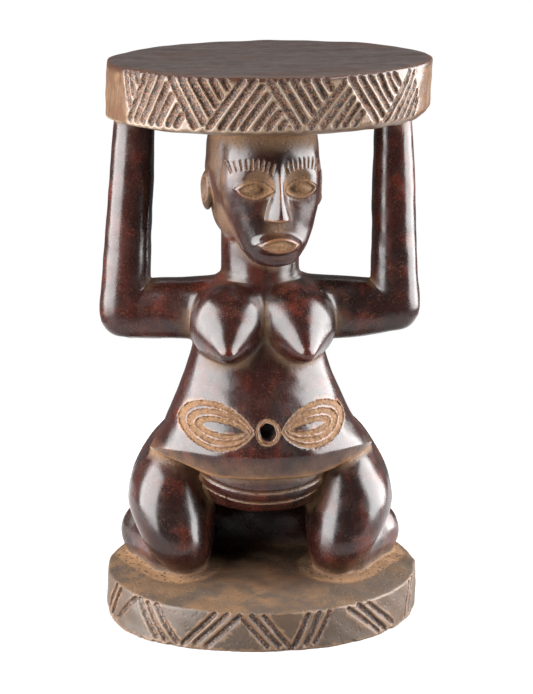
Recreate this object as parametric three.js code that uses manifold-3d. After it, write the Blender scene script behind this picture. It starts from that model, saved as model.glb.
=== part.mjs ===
// A caryatid stool, carved from one block of hardwood: a kneeling figure on a round base
// holds up a round seat with its head and both raised arms.
// Millimetres, +Z up. The figure looks along -Y, and +X is on the viewer's right.
import * as THREE from 'three';
import { mergeVertices } from 'three/addons/utils/BufferGeometryUtils.js';
import { ConvexGeometry } from 'three/addons/geometries/ConvexGeometry.js';
import Module from 'manifold-3d';

const wasm = await Module();
wasm.setup();

// Driving dimensions
const STOOL_HEIGHT = 421;
const SEAT_RADIUS = 120;
const SEAT_THICKNESS = 41;
const BASE_RADIUS = 119.5;
const BASE_THICKNESS = 30;
const BASE_CROWN = 6;
const BASE_FLARE = 6.5;
const SEAT_TILT = 0.009;
const SEAT_LEAN = 1.6;
const SEAT_SAG = 1.6;
const SEAT_CENTRE_X = 4;
const BASE_CENTRE_X = -2;
const BODY_CENTRE_X = -3;
const BODY_TURN = 5;
const HEAD_TURN = 13;
const HEAD_HEIGHT = 110;
const HEAD_WIDTH = 84;
const STROKE_WIDTH = 4.8;
const STROKE_DEPTH = 2.2;
const RIM_FACETS = 36;

const SEAT_BOTTOM = STOOL_HEIGHT - SEAT_THICKNESS;
const CHIN_HEIGHT = SEAT_BOTTOM - HEAD_HEIGHT + 2;
const DEGREE = Math.PI / 180;
const MERGE_DISTANCE = 1e-4;

// Solids and their joins

function solid(geometry) {
  geometry.deleteAttribute('normal');
  geometry.deleteAttribute('uv');
  const merged = mergeVertices(geometry, MERGE_DISTANCE);
  return new wasm.Manifold(new wasm.Mesh({
    numProp: 3,
    vertProperties: new Float32Array(merged.attributes.position.array),
    triVerts: new Uint32Array(merged.index.array),
  }));
}

function joined(solids) {
  return solids.reduce((sum, next) => sum.add(next));
}

function cut(body, cutters) {
  return body.subtract(joined(cutters));
}

function meshGeometry(body) {
  const mesh = body.getMesh();
  const geometry = new THREE.BufferGeometry();
  geometry.setAttribute('position', new THREE.BufferAttribute(mesh.vertProperties, 3));
  geometry.setIndex(new THREE.BufferAttribute(mesh.triVerts, 1));
  geometry.computeVertexNormals();
  return geometry;
}

function moveVertices(geometry, rule) {
  const position = geometry.attributes.position;
  const point = new THREE.Vector3();
  for (let i = 0; i < position.count; i += 1) {
    point.fromBufferAttribute(position, i);
    rule(point);
    position.setXYZ(i, point.x, point.y, point.z);
  }
  return geometry;
}

// Turns a geometry by some degrees about the upright axis through (x, y).
function turned(geometry, degrees, x = BODY_CENTRE_X, y = 0) {
  geometry.translate(-x, -y, 0);
  geometry.rotateZ(degrees * DEGREE);
  geometry.translate(x, y, 0);
  return geometry;
}

// Curves through the values at whole steps

function smoothValue(values, along) {
  const step = Math.min(Math.floor(along), values.length - 2);
  const t = along - step;
  const a = values[Math.max(step - 1, 0)];
  const b = values[step];
  const c = values[step + 1];
  const d = values[Math.min(step + 2, values.length - 1)];
  const slopeIn = (c - a) / 2;
  const slopeOut = (d - b) / 2;
  const curl = 3 * (c - b) - 2 * slopeIn - slopeOut;
  return b + t * (slopeIn + t * (curl + t * (2 * (b - c) + slopeIn + slopeOut)));
}

function smoothStep(from, to, value) {
  return THREE.MathUtils.smoothstep(value, from, to);
}

function signedPower(value, power) {
  return Math.sign(value) * Math.abs(value) ** power;
}

// An upright body through level sections, each [height, left, right, front, back, squareness].
// A squareness of 2 is an ellipse, and a larger one is nearer to a box with round corners.
function loft(sections, around, rowsPerSpan = 1) {
  const spans = sections.length - 1;
  const columns = sections[0].map((_, column) => sections.map((section) => section[column]));
  const geometry = new THREE.CylinderGeometry(1, 1, spans, around, spans * rowsPerSpan);
  return moveVertices(geometry, (point) => {
    const along = point.y + spans / 2;
    const section = columns.map((column) => smoothValue(column, along));
    const [height, left, right, front, back, squareness] = section;
    const reach = Math.hypot(point.x, point.z);
    const angle = Math.atan2(point.x, point.z);
    const power = 2 / squareness;
    point.set(
      (left + right) / 2 + (reach * (right - left) * signedPower(Math.sin(angle), power)) / 2,
      (front + back) / 2 - (reach * (back - front) * signedPower(Math.cos(angle), power)) / 2,
      height,
    );
  });
}

function mirrored(sections) {
  return sections.map(([height, left, right, ...rest]) => [
    height, 2 * BODY_CENTRE_X - right, 2 * BODY_CENTRE_X - left, ...rest,
  ]);
}

// A cone with round ends: a ball at each end and the surface that touches both.
function roundCone(start, startRadius, end, endRadius, around = 8, arcSteps = 2) {
  const from = new THREE.Vector3(...start);
  const axis = new THREE.Vector3(...end).sub(from);
  const length = axis.length();
  const tangent = Math.asin((startRadius - endRadius) / length);
  const profile = [];
  for (let i = 0; i <= arcSteps; i += 1) {
    const angle = THREE.MathUtils.lerp(-Math.PI / 2, tangent, i / arcSteps);
    profile.push(new THREE.Vector2(startRadius * Math.cos(angle), startRadius * Math.sin(angle)));
  }
  for (let i = 0; i <= arcSteps; i += 1) {
    const angle = THREE.MathUtils.lerp(tangent, Math.PI / 2, i / arcSteps);
    profile.push(new THREE.Vector2(endRadius * Math.cos(angle), length + endRadius * Math.sin(angle)));
  }
  profile[0].x = 0;
  profile[profile.length - 1].x = 0;
  const geometry = new THREE.LatheGeometry(profile, around);
  const up = new THREE.Vector3(0, 1, 0);
  geometry.applyQuaternion(new THREE.Quaternion().setFromUnitVectors(up, axis.normalize()));
  return geometry.translate(from.x, from.y, from.z);
}

// The ball is spun a little, so that its edges don't fall in the other shapes' middle planes.
function ellipsoid(centre, halfSizes, around = 14, up = 8) {
  const spin = 7 * DEGREE;
  const geometry = new THREE.SphereGeometry(1, around, up);
  geometry.rotateX(Math.PI / 2);
  geometry.rotateZ(spin);
  geometry.scale(...halfSizes);
  return geometry.translate(...centre);
}

// Seat and base

// The hand-cut rims are not quite round: how far each reaches at an angle from the front.
function seatReach(angle) {
  return SEAT_RADIUS * (
    1 + 0.005 * Math.cos(angle - 1.3) + 0.004 * Math.cos(3 * angle) + 0.003 * Math.cos(5 * angle + 2)
  );
}

// The base flares towards the ground at the left of the front.
function baseReach(angle, height) {
  const round = BASE_RADIUS * (1 - 0.007 * Math.cos(4 * angle) + 0.003 * Math.cos(3 * angle + 0.5));
  const flare = BASE_FLARE * Math.exp(-(((angle + 0.8) / 0.42) ** 2));
  return round + flare * THREE.MathUtils.clamp(1 - height / BASE_THICKNESS, 0, 1);
}

const SEAT_RIM = { radius: SEAT_RADIUS, centreX: SEAT_CENTRE_X, reach: seatReach };
const BASE_RIM = { radius: BASE_RADIUS, centreX: BASE_CENTRE_X, reach: baseReach };

function disc(profile, { radius, centreX, reach }) {
  const geometry = new THREE.LatheGeometry(profile.map(([r, z]) => new THREE.Vector2(r, z)), RIM_FACETS);
  geometry.rotateX(Math.PI / 2);
  return moveVertices(geometry, (point) => {
    const scale = reach(Math.atan2(point.x, -point.y), point.z) / radius;
    point.set(point.x * scale + centreX, point.y * scale, point.z);
  });
}

// A straight V-shaped gouge stroke on a rim, from one [angle, height] to the other.
function rimStroke({ centreX, reach }, [startAngle, startHeight], [endAngle, endHeight]) {
  const surface = (degrees, height) => {
    const angle = degrees * DEGREE;
    const far = reach(angle, height);
    return new THREE.Vector3(centreX + far * Math.sin(angle), -far * Math.cos(angle), height);
  };
  const start = surface(startAngle, startHeight);
  const along = surface(endAngle, endHeight).sub(start);
  const middleAngle = ((startAngle + endAngle) / 2) * DEGREE;
  const outward = new THREE.Vector3(Math.sin(middleAngle), -Math.cos(middleAngle), 0);
  const direction = along.clone().normalize();
  const sideways = outward.clone().cross(direction).normalize();
  const normal = direction.clone().cross(sideways);
  const proud = 1.4;
  const spread = (STROKE_WIDTH / 2) * ((STROKE_DEPTH + proud) / STROKE_DEPTH);
  const section = new THREE.Shape([
    new THREE.Vector2(-spread, proud),
    new THREE.Vector2(0, -STROKE_DEPTH),
    new THREE.Vector2(spread, proud),
  ]);
  const geometry = new THREE.ExtrudeGeometry(section, { depth: along.length(), bevelEnabled: false });
  const pose = new THREE.Matrix4().makeBasis(sideways, normal, direction);
  return geometry.applyMatrix4(pose.setPosition(start));
}

// The seat's rim: slanted lines that lean left and right in turn, with hatching between them.
// Each line is [middle angle from the front, lean to the right at the top], in degrees.
const SEAT_LINES = [
  [-59.5, -5], [-53.7, 8.6], [-32, -9.8], [-16.3, 10.6], [3, -10], [18.6, 12], [31.8, -11.6], [48.3, 12.4],
  [63.5, -6],
];
const REAR_LINES = 12;
const REAR_LINE_PITCH = 16;
const REAR_LINE_LEAN = 10.5;
const FRONT_STROKE_PITCH = 3.9;
const REAR_STROKE_PITCH = 7.8;
const SEAT_STROKE_LOW = SEAT_BOTTOM + 6.5;
const SEAT_STROKE_HIGH = STOOL_HEIGHT - 3.6;
const SHORTEST_STROKE = 0.22;
const STROKE_GAP = 0.06;

// Strokes beside a line and parallel to it, which stop at the next line.
function hatching([middle, lean], [nextMiddle, nextLean], pitch) {
  const rising = lean > 0;
  const strokes = [];
  let shift = pitch * 0.55;
  for (;;) {
    // Where the stroke meets the next line, from 0 at the rim's lower edge to 1 at its top
    const meeting = 0.5 + (nextMiddle - middle - shift) / (lean - nextLean);
    const full = rising ? meeting : 1 - meeting;
    if (full < SHORTEST_STROKE) return strokes;
    const length = Math.min(full - STROKE_GAP, 1);
    const [low, high] = rising ? [0, length] : [1 - length, 1];
    const start = middle + shift;
    strokes.push([low, high].map((share) => [
      start + lean * (share - 0.5), THREE.MathUtils.lerp(SEAT_STROKE_LOW, SEAT_STROKE_HIGH, share),
    ]));
    shift += pitch;
  }
}

function seatStrokes() {
  const rear = Array.from({ length: REAR_LINES }, (_, i) => [
    180 + REAR_LINE_PITCH * (i - (REAR_LINES - 1) / 2), i % 2 === 0 ? REAR_LINE_LEAN : -REAR_LINE_LEAN,
  ]);
  const cutters = [];
  for (const [lines, pitch] of [[SEAT_LINES, FRONT_STROKE_PITCH], [rear, REAR_STROKE_PITCH]]) {
    for (let i = 0; i + 1 < lines.length; i += 1) {
      for (const [start, end] of hatching(lines[i], lines[i + 1], pitch)) {
        cutters.push(rimStroke(SEAT_RIM, start, end));
      }
    }
  }
  return cutters;
}

// The seat tips to the left, and its underside leans to the left and sags.
const LEAN_SHARE = SEAT_LEAN / SEAT_THICKNESS;
const SAG_SHARE = SEAT_SAG / SEAT_THICKNESS;
const SEAT_POSE = new THREE.Matrix4().set(
  1, 0, -LEAN_SHARE, LEAN_SHARE * STOOL_HEIGHT,
  0, 1, 0, 0,
  -SEAT_TILT, 0, 1 - SAG_SHARE, SEAT_TILT * SEAT_CENTRE_X + SAG_SHARE * STOOL_HEIGHT,
  0, 0, 0, 1,
).invert();

function seat() {
  const lip = 1.5;
  const hollow = 1.5;
  const bevelHeight = 4;
  const bevelSkew = 2.2;
  const bevelWidth = 7;
  const bevelTop = SEAT_BOTTOM + bevelHeight;
  const profile = [
    [0, SEAT_BOTTOM],
    [SEAT_RADIUS - bevelWidth, SEAT_BOTTOM],
    [SEAT_RADIUS, bevelTop],
    [SEAT_RADIUS, STOOL_HEIGHT - lip],
    [SEAT_RADIUS - lip, STOOL_HEIGHT],
    [SEAT_RADIUS * 0.9, STOOL_HEIGHT],
    [SEAT_RADIUS * 0.5, STOOL_HEIGHT - hollow],
    [0, STOOL_HEIGHT - hollow],
  ];
  const block = moveVertices(disc(profile, SEAT_RIM), (point) => {
    const onBevel = Math.abs(point.z - bevelTop) < 0.1;
    if (onBevel) point.z += bevelSkew * ((point.x - SEAT_CENTRE_X) / SEAT_RADIUS);
  });
  const placed = (geometry) => solid(geometry.applyMatrix4(SEAT_POSE));
  return cut(placed(block), seatStrokes().map(placed));
}

// The base's rim: groups of strokes that lean left and right in turn, with plain wood between.
// Each group is [middle angle, lean in degrees, strokes].
const BASE_FRONT_GROUPS = [
  [-68, -8, 2], [-57, -12, 1], [-39.5, 9.5, 3], [-17.5, -11, 3],
  [1.5, 9.5, 3], [18.5, -5, 3], [44, 13.5, 3], [70, -5, 2],
];
const BASE_REAR_GROUPS = 7;
const BASE_REAR_PITCH = 26;
const BASE_REAR_LEAN = 9;
const BASE_REAR_STROKES = 2;
const BASE_STROKE_PITCH = 4.3;
const BASE_STROKE_LOW = 4;
const BASE_STROKE_HIGH = BASE_THICKNESS - 3;

function baseStrokes() {
  const rear = Array.from({ length: BASE_REAR_GROUPS }, (_, i) => [
    180 + BASE_REAR_PITCH * (i - (BASE_REAR_GROUPS - 1) / 2),
    i % 2 === 0 ? BASE_REAR_LEAN : -BASE_REAR_LEAN,
    BASE_REAR_STROKES,
  ]);
  const cutters = [];
  for (const [middle, lean, strokes] of [...BASE_FRONT_GROUPS, ...rear]) {
    for (let i = 0; i < strokes; i += 1) {
      const angle = middle + BASE_STROKE_PITCH * (i - (strokes - 1) / 2);
      const bottom = [angle + lean / 2, BASE_STROKE_LOW];
      const top = [angle - lean / 2, BASE_STROKE_HIGH];
      cutters.push(solid(rimStroke(BASE_RIM, bottom, top)));
    }
  }
  return cutters;
}

function base() {
  const edge = 1.6;
  const profile = [
    [0, 0],
    [BASE_RADIUS - edge, 0],
    [BASE_RADIUS, edge],
    [BASE_RADIUS, BASE_THICKNESS - edge],
    [BASE_RADIUS - edge, BASE_THICKNESS],
    [BASE_RADIUS * 0.82, BASE_THICKNESS + BASE_CROWN * 0.6],
    [BASE_RADIUS * 0.6, BASE_THICKNESS + BASE_CROWN],
    [0, BASE_THICKNESS + BASE_CROWN],
  ];
  return cut(solid(disc(profile, BASE_RIM)), baseStrokes());
}

// Trunk

const RIDGE_HEIGHT = 118;
const TRUNK_SECTIONS = [
  [RIDGE_HEIGHT, -88, 82, -79, 46, 1.85],
  [135, -82, 76, -78.5, 46, 1.95],
  [154, -74.3, 64.2, -72, 41, 2.1],
  [173, -65.8, 55.2, -60, 36, 2.2],
  [190, -59.5, 48.5, -51, 34, 2.3],
  [206, -54.2, 44.8, -46, 34, 2.4],
  [226, -50.5, 43.5, -42, 32, 2.5],
  [246, -46, 40, -34, 26, 2.4],
  [257, -34, 28, -24, 20, 2.2],
];
const RIDGE_RISE = 10;

// The belly's lower part slants back to the ridge, like an apron between the hips.
const APRON_SECTIONS = [
  [RIDGE_HEIGHT - 2, -88.5, 82.5, -73, 60, 1.85],
  [RIDGE_HEIGHT + 22, -95, 89, -80.5, 60, 1.82],
  [RIDGE_HEIGHT + 50, -110, 104, -89, 60, 1.85],
  [300, -190, 184, -160, 90, 1.9],
];

// The lower edge of the belly climbs towards the hips.
function ridgeLift(x, height) {
  const sideways = smoothStep(30, 84, Math.abs(x - BODY_CENTRE_X));
  return RIDGE_RISE * sideways * (1 - smoothStep(RIDGE_HEIGHT, 150, height));
}

function trunk() {
  const [body, apron] = [TRUNK_SECTIONS, APRON_SECTIONS].map((sections) => {
    const geometry = moveVertices(loft(sections, 24), (point) => {
      point.z += ridgeLift(point.x, point.z);
    });
    return solid(turned(geometry, BODY_TURN));
  });
  return body.intersect(apron);
}

// How far forward a form lies at a place beside and above the body's middle line.
function frontOf(sections, sideways, height) {
  let span = 0;
  while (span < sections.length - 2 && sections[span + 1][0] < height) span += 1;
  const along = span + (height - sections[span][0]) / (sections[span + 1][0] - sections[span][0]);
  const [, left, right, front, back, squareness] = sections[0].map((_, column) => (
    smoothValue(sections.map((section) => section[column]), along)));
  const offset = BODY_CENTRE_X + sideways - (left + right) / 2;
  const share = Math.min(Math.abs(offset) / ((right - left) / 2), 0.99);
  return (front + back) / 2 - ((back - front) / 2) * (1 - share ** squareness) ** (1 / squareness);
}

function bellyFront(sideways, height) {
  return Math.max(frontOf(TRUNK_SECTIONS, sideways, height), frontOf(APRON_SECTIONS, sideways, height));
}

// The lower belly: a smaller rounded mass set back under the ridge.
function lowerBelly() {
  return turned(loft([
    [84, -34, 28, -40, 40, 2.2],
    [88, -44, 38, -55, 45, 2.3],
    [96, -50, 44, -63, 48, 2.3],
    [108, -54, 48, -68, 50, 2.4],
    [124, -54, 48, -68, 50, 2.4],
  ], 18), BODY_TURN);
}

// The belly's pattern: two leaves of nested lines, and a ring round the navel.
const NAVEL_HEIGHT = 153;
const NAVEL_RADIUS = 6.2;
const NAVEL_RING_RADIUS = 8.6;
const NAVEL_RING_WIDTH = 1.6;
const LEAF_START = 9.5;
const LEAF_TILT = 0.095;
const LEAF_LINES = 3;
const LEAF_LINE_PITCH = 4.9;
const LEAF_LINE_WIDTH = 3.2;
const LEAVES = [{ side: -1, length: 54, halfHeight: 16.6 }, { side: 1, length: 50, halfHeight: 15.4 }];

// A point of one line of a leaf, for an angle once round it: pointed at the navel, blunt outside.
function leafPoint(leaf, line, angle) {
  const inset = line * LEAF_LINE_PITCH;
  const length = leaf.length - 3 - inset * 1.7;
  const halfHeight = leaf.halfHeight - 1.5 - inset;
  const share = (1 - Math.cos(angle)) / 2;
  const outline = 2.53 * share ** 0.75 * (1 - share) ** 0.6;
  const reach = LEAF_START + 1.5 + line * 2.5 + length * share;
  const rise = Math.sign(Math.sin(angle)) * halfHeight * outline;
  return [leaf.side * reach, NAVEL_HEIGHT + LEAF_TILT * (reach - LEAF_START) + rise];
}

function onBelly([sideways, height]) {
  return new THREE.Vector3(BODY_CENTRE_X + sideways, bellyFront(sideways, height), height);
}

// A closed round groove that follows a line on the belly.
function bellyGroove(lineAt, steps, width) {
  const sides = 4;
  const ring = 10;
  const step = 0.05;
  const geometry = new THREE.TorusGeometry(ring, width / 2, sides, steps);
  const forward = new THREE.Vector3(0, -1, 0);
  moveVertices(geometry, (point) => {
    const angle = Math.atan2(point.y, point.x);
    const outward = Math.hypot(point.x, point.y) - ring;
    const lift = point.z;
    const along = onBelly(lineAt(angle + step)).sub(onBelly(lineAt(angle - step))).normalize();
    const across = along.cross(forward).normalize();
    point.copy(onBelly(lineAt(angle))).addScaledVector(across, outward).addScaledVector(forward, lift);
  });
  return turned(geometry, BODY_TURN);
}

function bellyPattern() {
  const cutters = [];
  for (const leaf of LEAVES) {
    for (let line = 0; line < LEAF_LINES; line += 1) {
      const lineAt = (angle) => leafPoint(leaf, line, leaf.side * angle);
      cutters.push(solid(bellyGroove(lineAt, 14 - 3 * line, LEAF_LINE_WIDTH)));
    }
  }
  const ringAt = (angle) => [
    NAVEL_RING_RADIUS * Math.cos(angle), NAVEL_HEIGHT + NAVEL_RING_RADIUS * Math.sin(angle),
  ];
  cutters.push(solid(bellyGroove(ringAt, 8, NAVEL_RING_WIDTH)));
  const hole = new THREE.CylinderGeometry(NAVEL_RADIUS, NAVEL_RADIUS * 0.7, 16, 8);
  hole.translate(BODY_CENTRE_X, bellyFront(0, NAVEL_HEIGHT), NAVEL_HEIGHT);
  cutters.push(solid(turned(hole, BODY_TURN)));
  return cutters;
}

// Chest

function breasts() {
  const shapes = [];
  for (const side of [-1, 1]) {
    const geometry = roundCone(
      [BODY_CENTRE_X + side * 24.5, -27, 225], 30,
      [BODY_CENTRE_X + side * 29, -64, 211.5], 7, 14, 3,
    );
    shapes.push(solid(turned(geometry, BODY_TURN)));
  }
  return joined(shapes);
}

// Arms: level upper arms and upright forearms that end flat under the seat.
const ARM_TOP = 253.5;
const ARM_BOTTOM = 208;
const BEAM_BOTTOM = 208.5;

const LEFT_FOREARM = {
  elbow: [-124, -86], wrist: [-111, -80.5], half: 19, bottom: ARM_BOTTOM + 2, rounding: 19,
};
const RIGHT_FOREARM = {
  elbow: [80, 117.5], wrist: [82, 110], half: 18, bottom: ARM_BOTTOM + 7, rounding: 19,
};

function forearm({ elbow, wrist, half, bottom, rounding }) {
  const [outerSide, innerSide] = elbow[0] < 0 ? [0, 1] : [1, 0];
  const inward = Math.sign(elbow[innerSide] - elbow[outerSide]);
  const squareness = 2.4;
  const sections = [];
  for (const degrees of [86, 62, 38, 15]) {
    const angle = degrees * DEGREE;
    const height = bottom + rounding * (1 - Math.sin(angle));
    const ends = [...elbow];
    ends[outerSide] += inward * rounding * (1 - Math.cos(angle)) * 0.95;
    const depth = half * (0.3 + 0.7 * Math.cos(angle) ** 0.8);
    sections.push([height, ...ends, -depth, depth, squareness]);
  }
  sections.push([bottom + rounding + 6, ...elbow, -half, half, squareness]);
  for (const share of [0.5, 1]) {
    const height = THREE.MathUtils.lerp(bottom + rounding, SEAT_BOTTOM, share);
    const ends = elbow.map((value, i) => THREE.MathUtils.lerp(value, wrist[i], share));
    sections.push([height, ...ends, -half + 2 * share, half - 2 * share, squareness]);
  }
  sections.push([SEAT_BOTTOM + 4, ...wrist, -half + 2, half - 2, squareness]);
  return loft(sections, 12);
}

// Both upper arms and the shoulders are one beam that lies across the trunk.
// Each section is [distance to the right, front, back]; the underside rises to the right.
const BEAM_SECTIONS = [
  [-104, -18, 18], [-70, -20, 18], [-35, -24, 20], [BODY_CENTRE_X, -26, 22], [30, -24, 20], [65, -20, 18],
  [86, -19, 18], [102, -18, 18],
];
const BEAM_RISE = 8;
const BEAM_RISE_START = 52;
const BEAM_RISE_LENGTH = 50;

function shoulderBeam() {
  const half = (ARM_TOP - BEAM_BOTTOM) / 2;
  const geometry = loft(BEAM_SECTIONS.map(([x, front, back]) => {
    const swell = 5 * Math.exp(-(((x - BODY_CENTRE_X - 8) / 55) ** 2));
    const rise = BEAM_RISE * (Math.max(0, x - BEAM_RISE_START) / BEAM_RISE_LENGTH) ** 2;
    return [x, rise - half, half + swell, front, back, 2.5];
  }), 12);
  return moveVertices(geometry, (point) => {
    point.set(point.z, point.y, (ARM_TOP + BEAM_BOTTOM) / 2 + point.x);
  });
}

// The beam's vertices are swapped between two axes, so its faces are turned outwards again.
function flipped(geometry) {
  const index = geometry.index.array;
  for (let i = 0; i < index.length; i += 3) {
    [index[i], index[i + 1]] = [index[i + 1], index[i]];
  }
  return geometry;
}

function arms() {
  return joined([
    solid(flipped(shoulderBeam())),
    solid(forearm(LEFT_FOREARM)),
    solid(forearm(RIGHT_FOREARM)),
  ]);
}

// Legs

const THIGH_SECTIONS = [
  [29, -67, -49, -40, -16, 2],
  [34, -72, -46, -47, -8, 2],
  [42, -80, -42, -56, 4, 2.1],
  [52, -88, -39, -62, 18, 2.2],
  [66, -96.5, -38, -63, 34, 2.4],
  [84, -103.5, -38, -59, 46, 2.4],
  [102, -101.5, -40, -54, 52, 2.4],
  [117, -94.5, -42, -46, 52, 2.4],
  [129, -86.5, -46, -34, 48, 2.3],
  [140, -77, -50, -20, 38, 2.2],
];

function legs() {
  const shapes = [];
  for (const side of [-1, 1]) {
    const thigh = loft(side < 0 ? THIGH_SECTIONS : mirrored(THIGH_SECTIONS), 13);
    const x = (value) => BODY_CENTRE_X + side * value;
    shapes.push(solid(thigh));
    shapes.push(solid(roundCone([x(65), -25, 48], 20, [x(84.5), 22, 50], 22.8, 10)));
    shapes.push(solid(roundCone([x(84.5), 22, 50], 22.8, [x(68), 66, 48], 18, 10)));
    shapes.push(solid(roundCone([x(66), 62, 46], 16, [x(48), 97, 41], 10)));
    shapes.push(solid(ellipsoid([x(37), 42, 104], [45, 41, 42], 12, 8)));
  }
  const heelBlock = loft([
    [32, -66, 60, 22, 74, 3],
    [60, -66, 60, 24, 74, 3],
    [90, -50, 44, 20, 66, 2.6],
  ], 12);
  shapes.push(solid(heelBlock));
  return joined(shapes);
}

// Head and neck, about the head's own upright axis

const HEAD_CENTRE_X = BODY_CENTRE_X + 2;
const HEAD_CENTRE_Y = -6;

function placedOnHead(geometry) {
  geometry.translate(HEAD_CENTRE_X, HEAD_CENTRE_Y, CHIN_HEIGHT);
  return turned(geometry, HEAD_TURN, HEAD_CENTRE_X, HEAD_CENTRE_Y);
}

function neck() {
  return loft([
    [236, -40, 33, -36, 28, 2.1],
    [250, -34, 28, -32, 27, 2.1],
    [262, -32, 26, -30, 27, 2.1],
    [285, -32, 26, -30, 28, 2.1],
    [310, -32, 26, -28, 30, 2.1],
  ], 14);
}

// The skull rises from the nape to the seat, and the face is an oval mask set on its front.
function skull() {
  const half = HEAD_WIDTH / 2;
  return loft([
    [14, -half * 0.58, half * 0.58, -30, 26, 2.1],
    [26, -half * 0.82, half * 0.82, -38, 38, 2.1],
    [44, -half * 0.93, half * 0.93, -42, 47, 2.1],
    [64, -half, half, -46, 51, 2.1],
    [84, -half * 0.97, half * 0.97, -50, 50, 2.1],
    [100, -half * 0.92, half * 0.92, -49, 47, 2.1],
    [HEAD_HEIGHT + 1, -half * 0.9, half * 0.9, -46, 44, 2.1],
  ], 18);
}

function mask() {
  return loft([
    [0, -9, 9.5, -47, -22, 2.2],
    [4, -16, 16.5, -52, -14, 2.3],
    [14, -24, 24.6, -53, -6, 2.4],
    [30, -31, 31.6, -52, 0, 2.4],
    [48, -35, 35.6, -52, 0, 2.4],
    [66, -36.5, 37, -54, 0, 2.3],
    [82, -35, 35.5, -54.5, 0, 2.2],
    [98, -33.5, 34, -51, 0, 2.1],
    [HEAD_HEIGHT, -32, 32.5, -46.5, 0, 2.1],
  ], 18);
}

// An almond outline of two arcs that meet in points.
function almond(width, height) {
  const shape = new THREE.Shape();
  shape.moveTo(-width / 2, 0);
  shape.quadraticCurveTo(0, -height, width / 2, 0);
  shape.quadraticCurveTo(0, height, -width / 2, 0);
  return shape;
}

// A plate of an almond's shape that faces forward, from one depth to another.
function almondPlate(width, height, [x, z], from, to) {
  const geometry = new THREE.ExtrudeGeometry(almond(width, height), {
    depth: from - to, bevelEnabled: false, curveSegments: 4,
  });
  geometry.rotateX(Math.PI / 2);
  return geometry.translate(x, from, z);
}

const EYE_LEVEL = 60;
const EYE_SPACING = 17.5;
const MOUTH_LEVEL = 19;
const FACE_FRONT = -70;

function eyes() {
  const sockets = [];
  const balls = [];
  const lids = [];
  for (const side of [-1, 1]) {
    const x = side * EYE_SPACING;
    sockets.push(ellipsoid([x * 1.03, -56, EYE_LEVEL + 1.5], [14.5, 8.5, 13], 12, 8));
    balls.push(ellipsoid([x, -41, EYE_LEVEL - 1], [12.5, 10.2, 8.2], 12, 6));
    lids.push(almondPlate(20, 9, [x, EYE_LEVEL - 1], -49.6, FACE_FRONT));
  }
  return { sockets, balls, lids };
}

function nose() {
  return new ConvexGeometry([
    new THREE.Vector3(-4, -48, 74), new THREE.Vector3(4, -48, 74),
    new THREE.Vector3(-2.8, -56.5, 70), new THREE.Vector3(2.8, -56.5, 70),
    new THREE.Vector3(-4, -63.5, 39), new THREE.Vector3(4, -63.5, 39),
    new THREE.Vector3(-9.5, -48, 37), new THREE.Vector3(9.5, -48, 37),
    new THREE.Vector3(-9, -56, 36.5), new THREE.Vector3(9, -56, 36.5),
  ]);
}

function lips() {
  return {
    mass: ellipsoid([0, -48, MOUTH_LEVEL], [17, 12.5, 8.5], 12, 6),
    opening: almondPlate(24, 7, [0, MOUTH_LEVEL], -58.4, FACE_FRONT),
  };
}

// Short strokes over each eye, fanned like lashes.
function browStrokes() {
  const strokes = 5;
  const cutters = [];
  for (const side of [-1, 1]) {
    for (let i = 0; i < strokes; i += 1) {
      const spread = (i / (strokes - 1)) * 2 - 1;
      const x = side * (EYE_SPACING + 1.5 + spread * 13.5);
      const stroke = new THREE.CylinderGeometry(1.1, 1.1, 8, 3);
      stroke.rotateX(Math.PI / 2);
      stroke.rotateY(side * spread * 0.25);
      const skin = -55.5 + 0.0105 * x * x;
      cutters.push(stroke.translate(x, skin, EYE_LEVEL + 18.5 - 3.5 * spread * spread));
    }
  }
  return cutters;
}

function ears() {
  const shells = [];
  const hollows = [];
  for (const side of [-1, 1]) {
    const x = side * (HEAD_WIDTH / 2 - 0.5);
    shells.push(ellipsoid([x, 2, 52], [5.5, 9.5, 15.5], 10, 6));
    hollows.push(ellipsoid([x + side * 5.1, -1, 54], [4.8, 5.5, 9.5], 8, 6));
  }
  return { shells, hollows };
}

function head() {
  const place = (geometry) => solid(placedOnHead(geometry));
  const { sockets, balls, lids } = eyes();
  const { mass, opening } = lips();
  const { shells, hollows } = ears();
  const block = joined([skull(), mask()].map(place));
  const socketed = cut(block, [...sockets, ...browStrokes()].map(place));
  const featured = joined([socketed, ...[nose(), mass, ...balls, ...shells].map(place)]);
  const carved = cut(featured, [opening, ...lids, ...hollows].map(place));
  return joined([carved, solid(turned(neck(), HEAD_TURN / 2))]);
}

// The whole block

function stool() {
  const body = joined([
    trunk(), solid(lowerBelly()), breasts(), arms(), legs(),
  ]);
  return joined([cut(body, bellyPattern()), head(), seat(), base()]);
}

const wood = new THREE.MeshStandardMaterial({ color: 0x4a1f17, roughness: 0.35, metalness: 0 });
const carving = new THREE.Mesh(meshGeometry(stool()), wood);
carving.name = 'carved_stool';

const object = new THREE.Group();
object.add(carving);

export default object;
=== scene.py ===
"""The looks of a carved caryatid stool.

The stool is sculpted as a distance field from the same named sizes as its solid, turned into one
mesh, thinned out, and given a procedural wood whose dust, wear and polish follow the carving.
Lengths are in millimetres until the mesh is made. The figure looks along -Y.
"""

import math
from concurrent.futures import ThreadPoolExecutor

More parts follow.
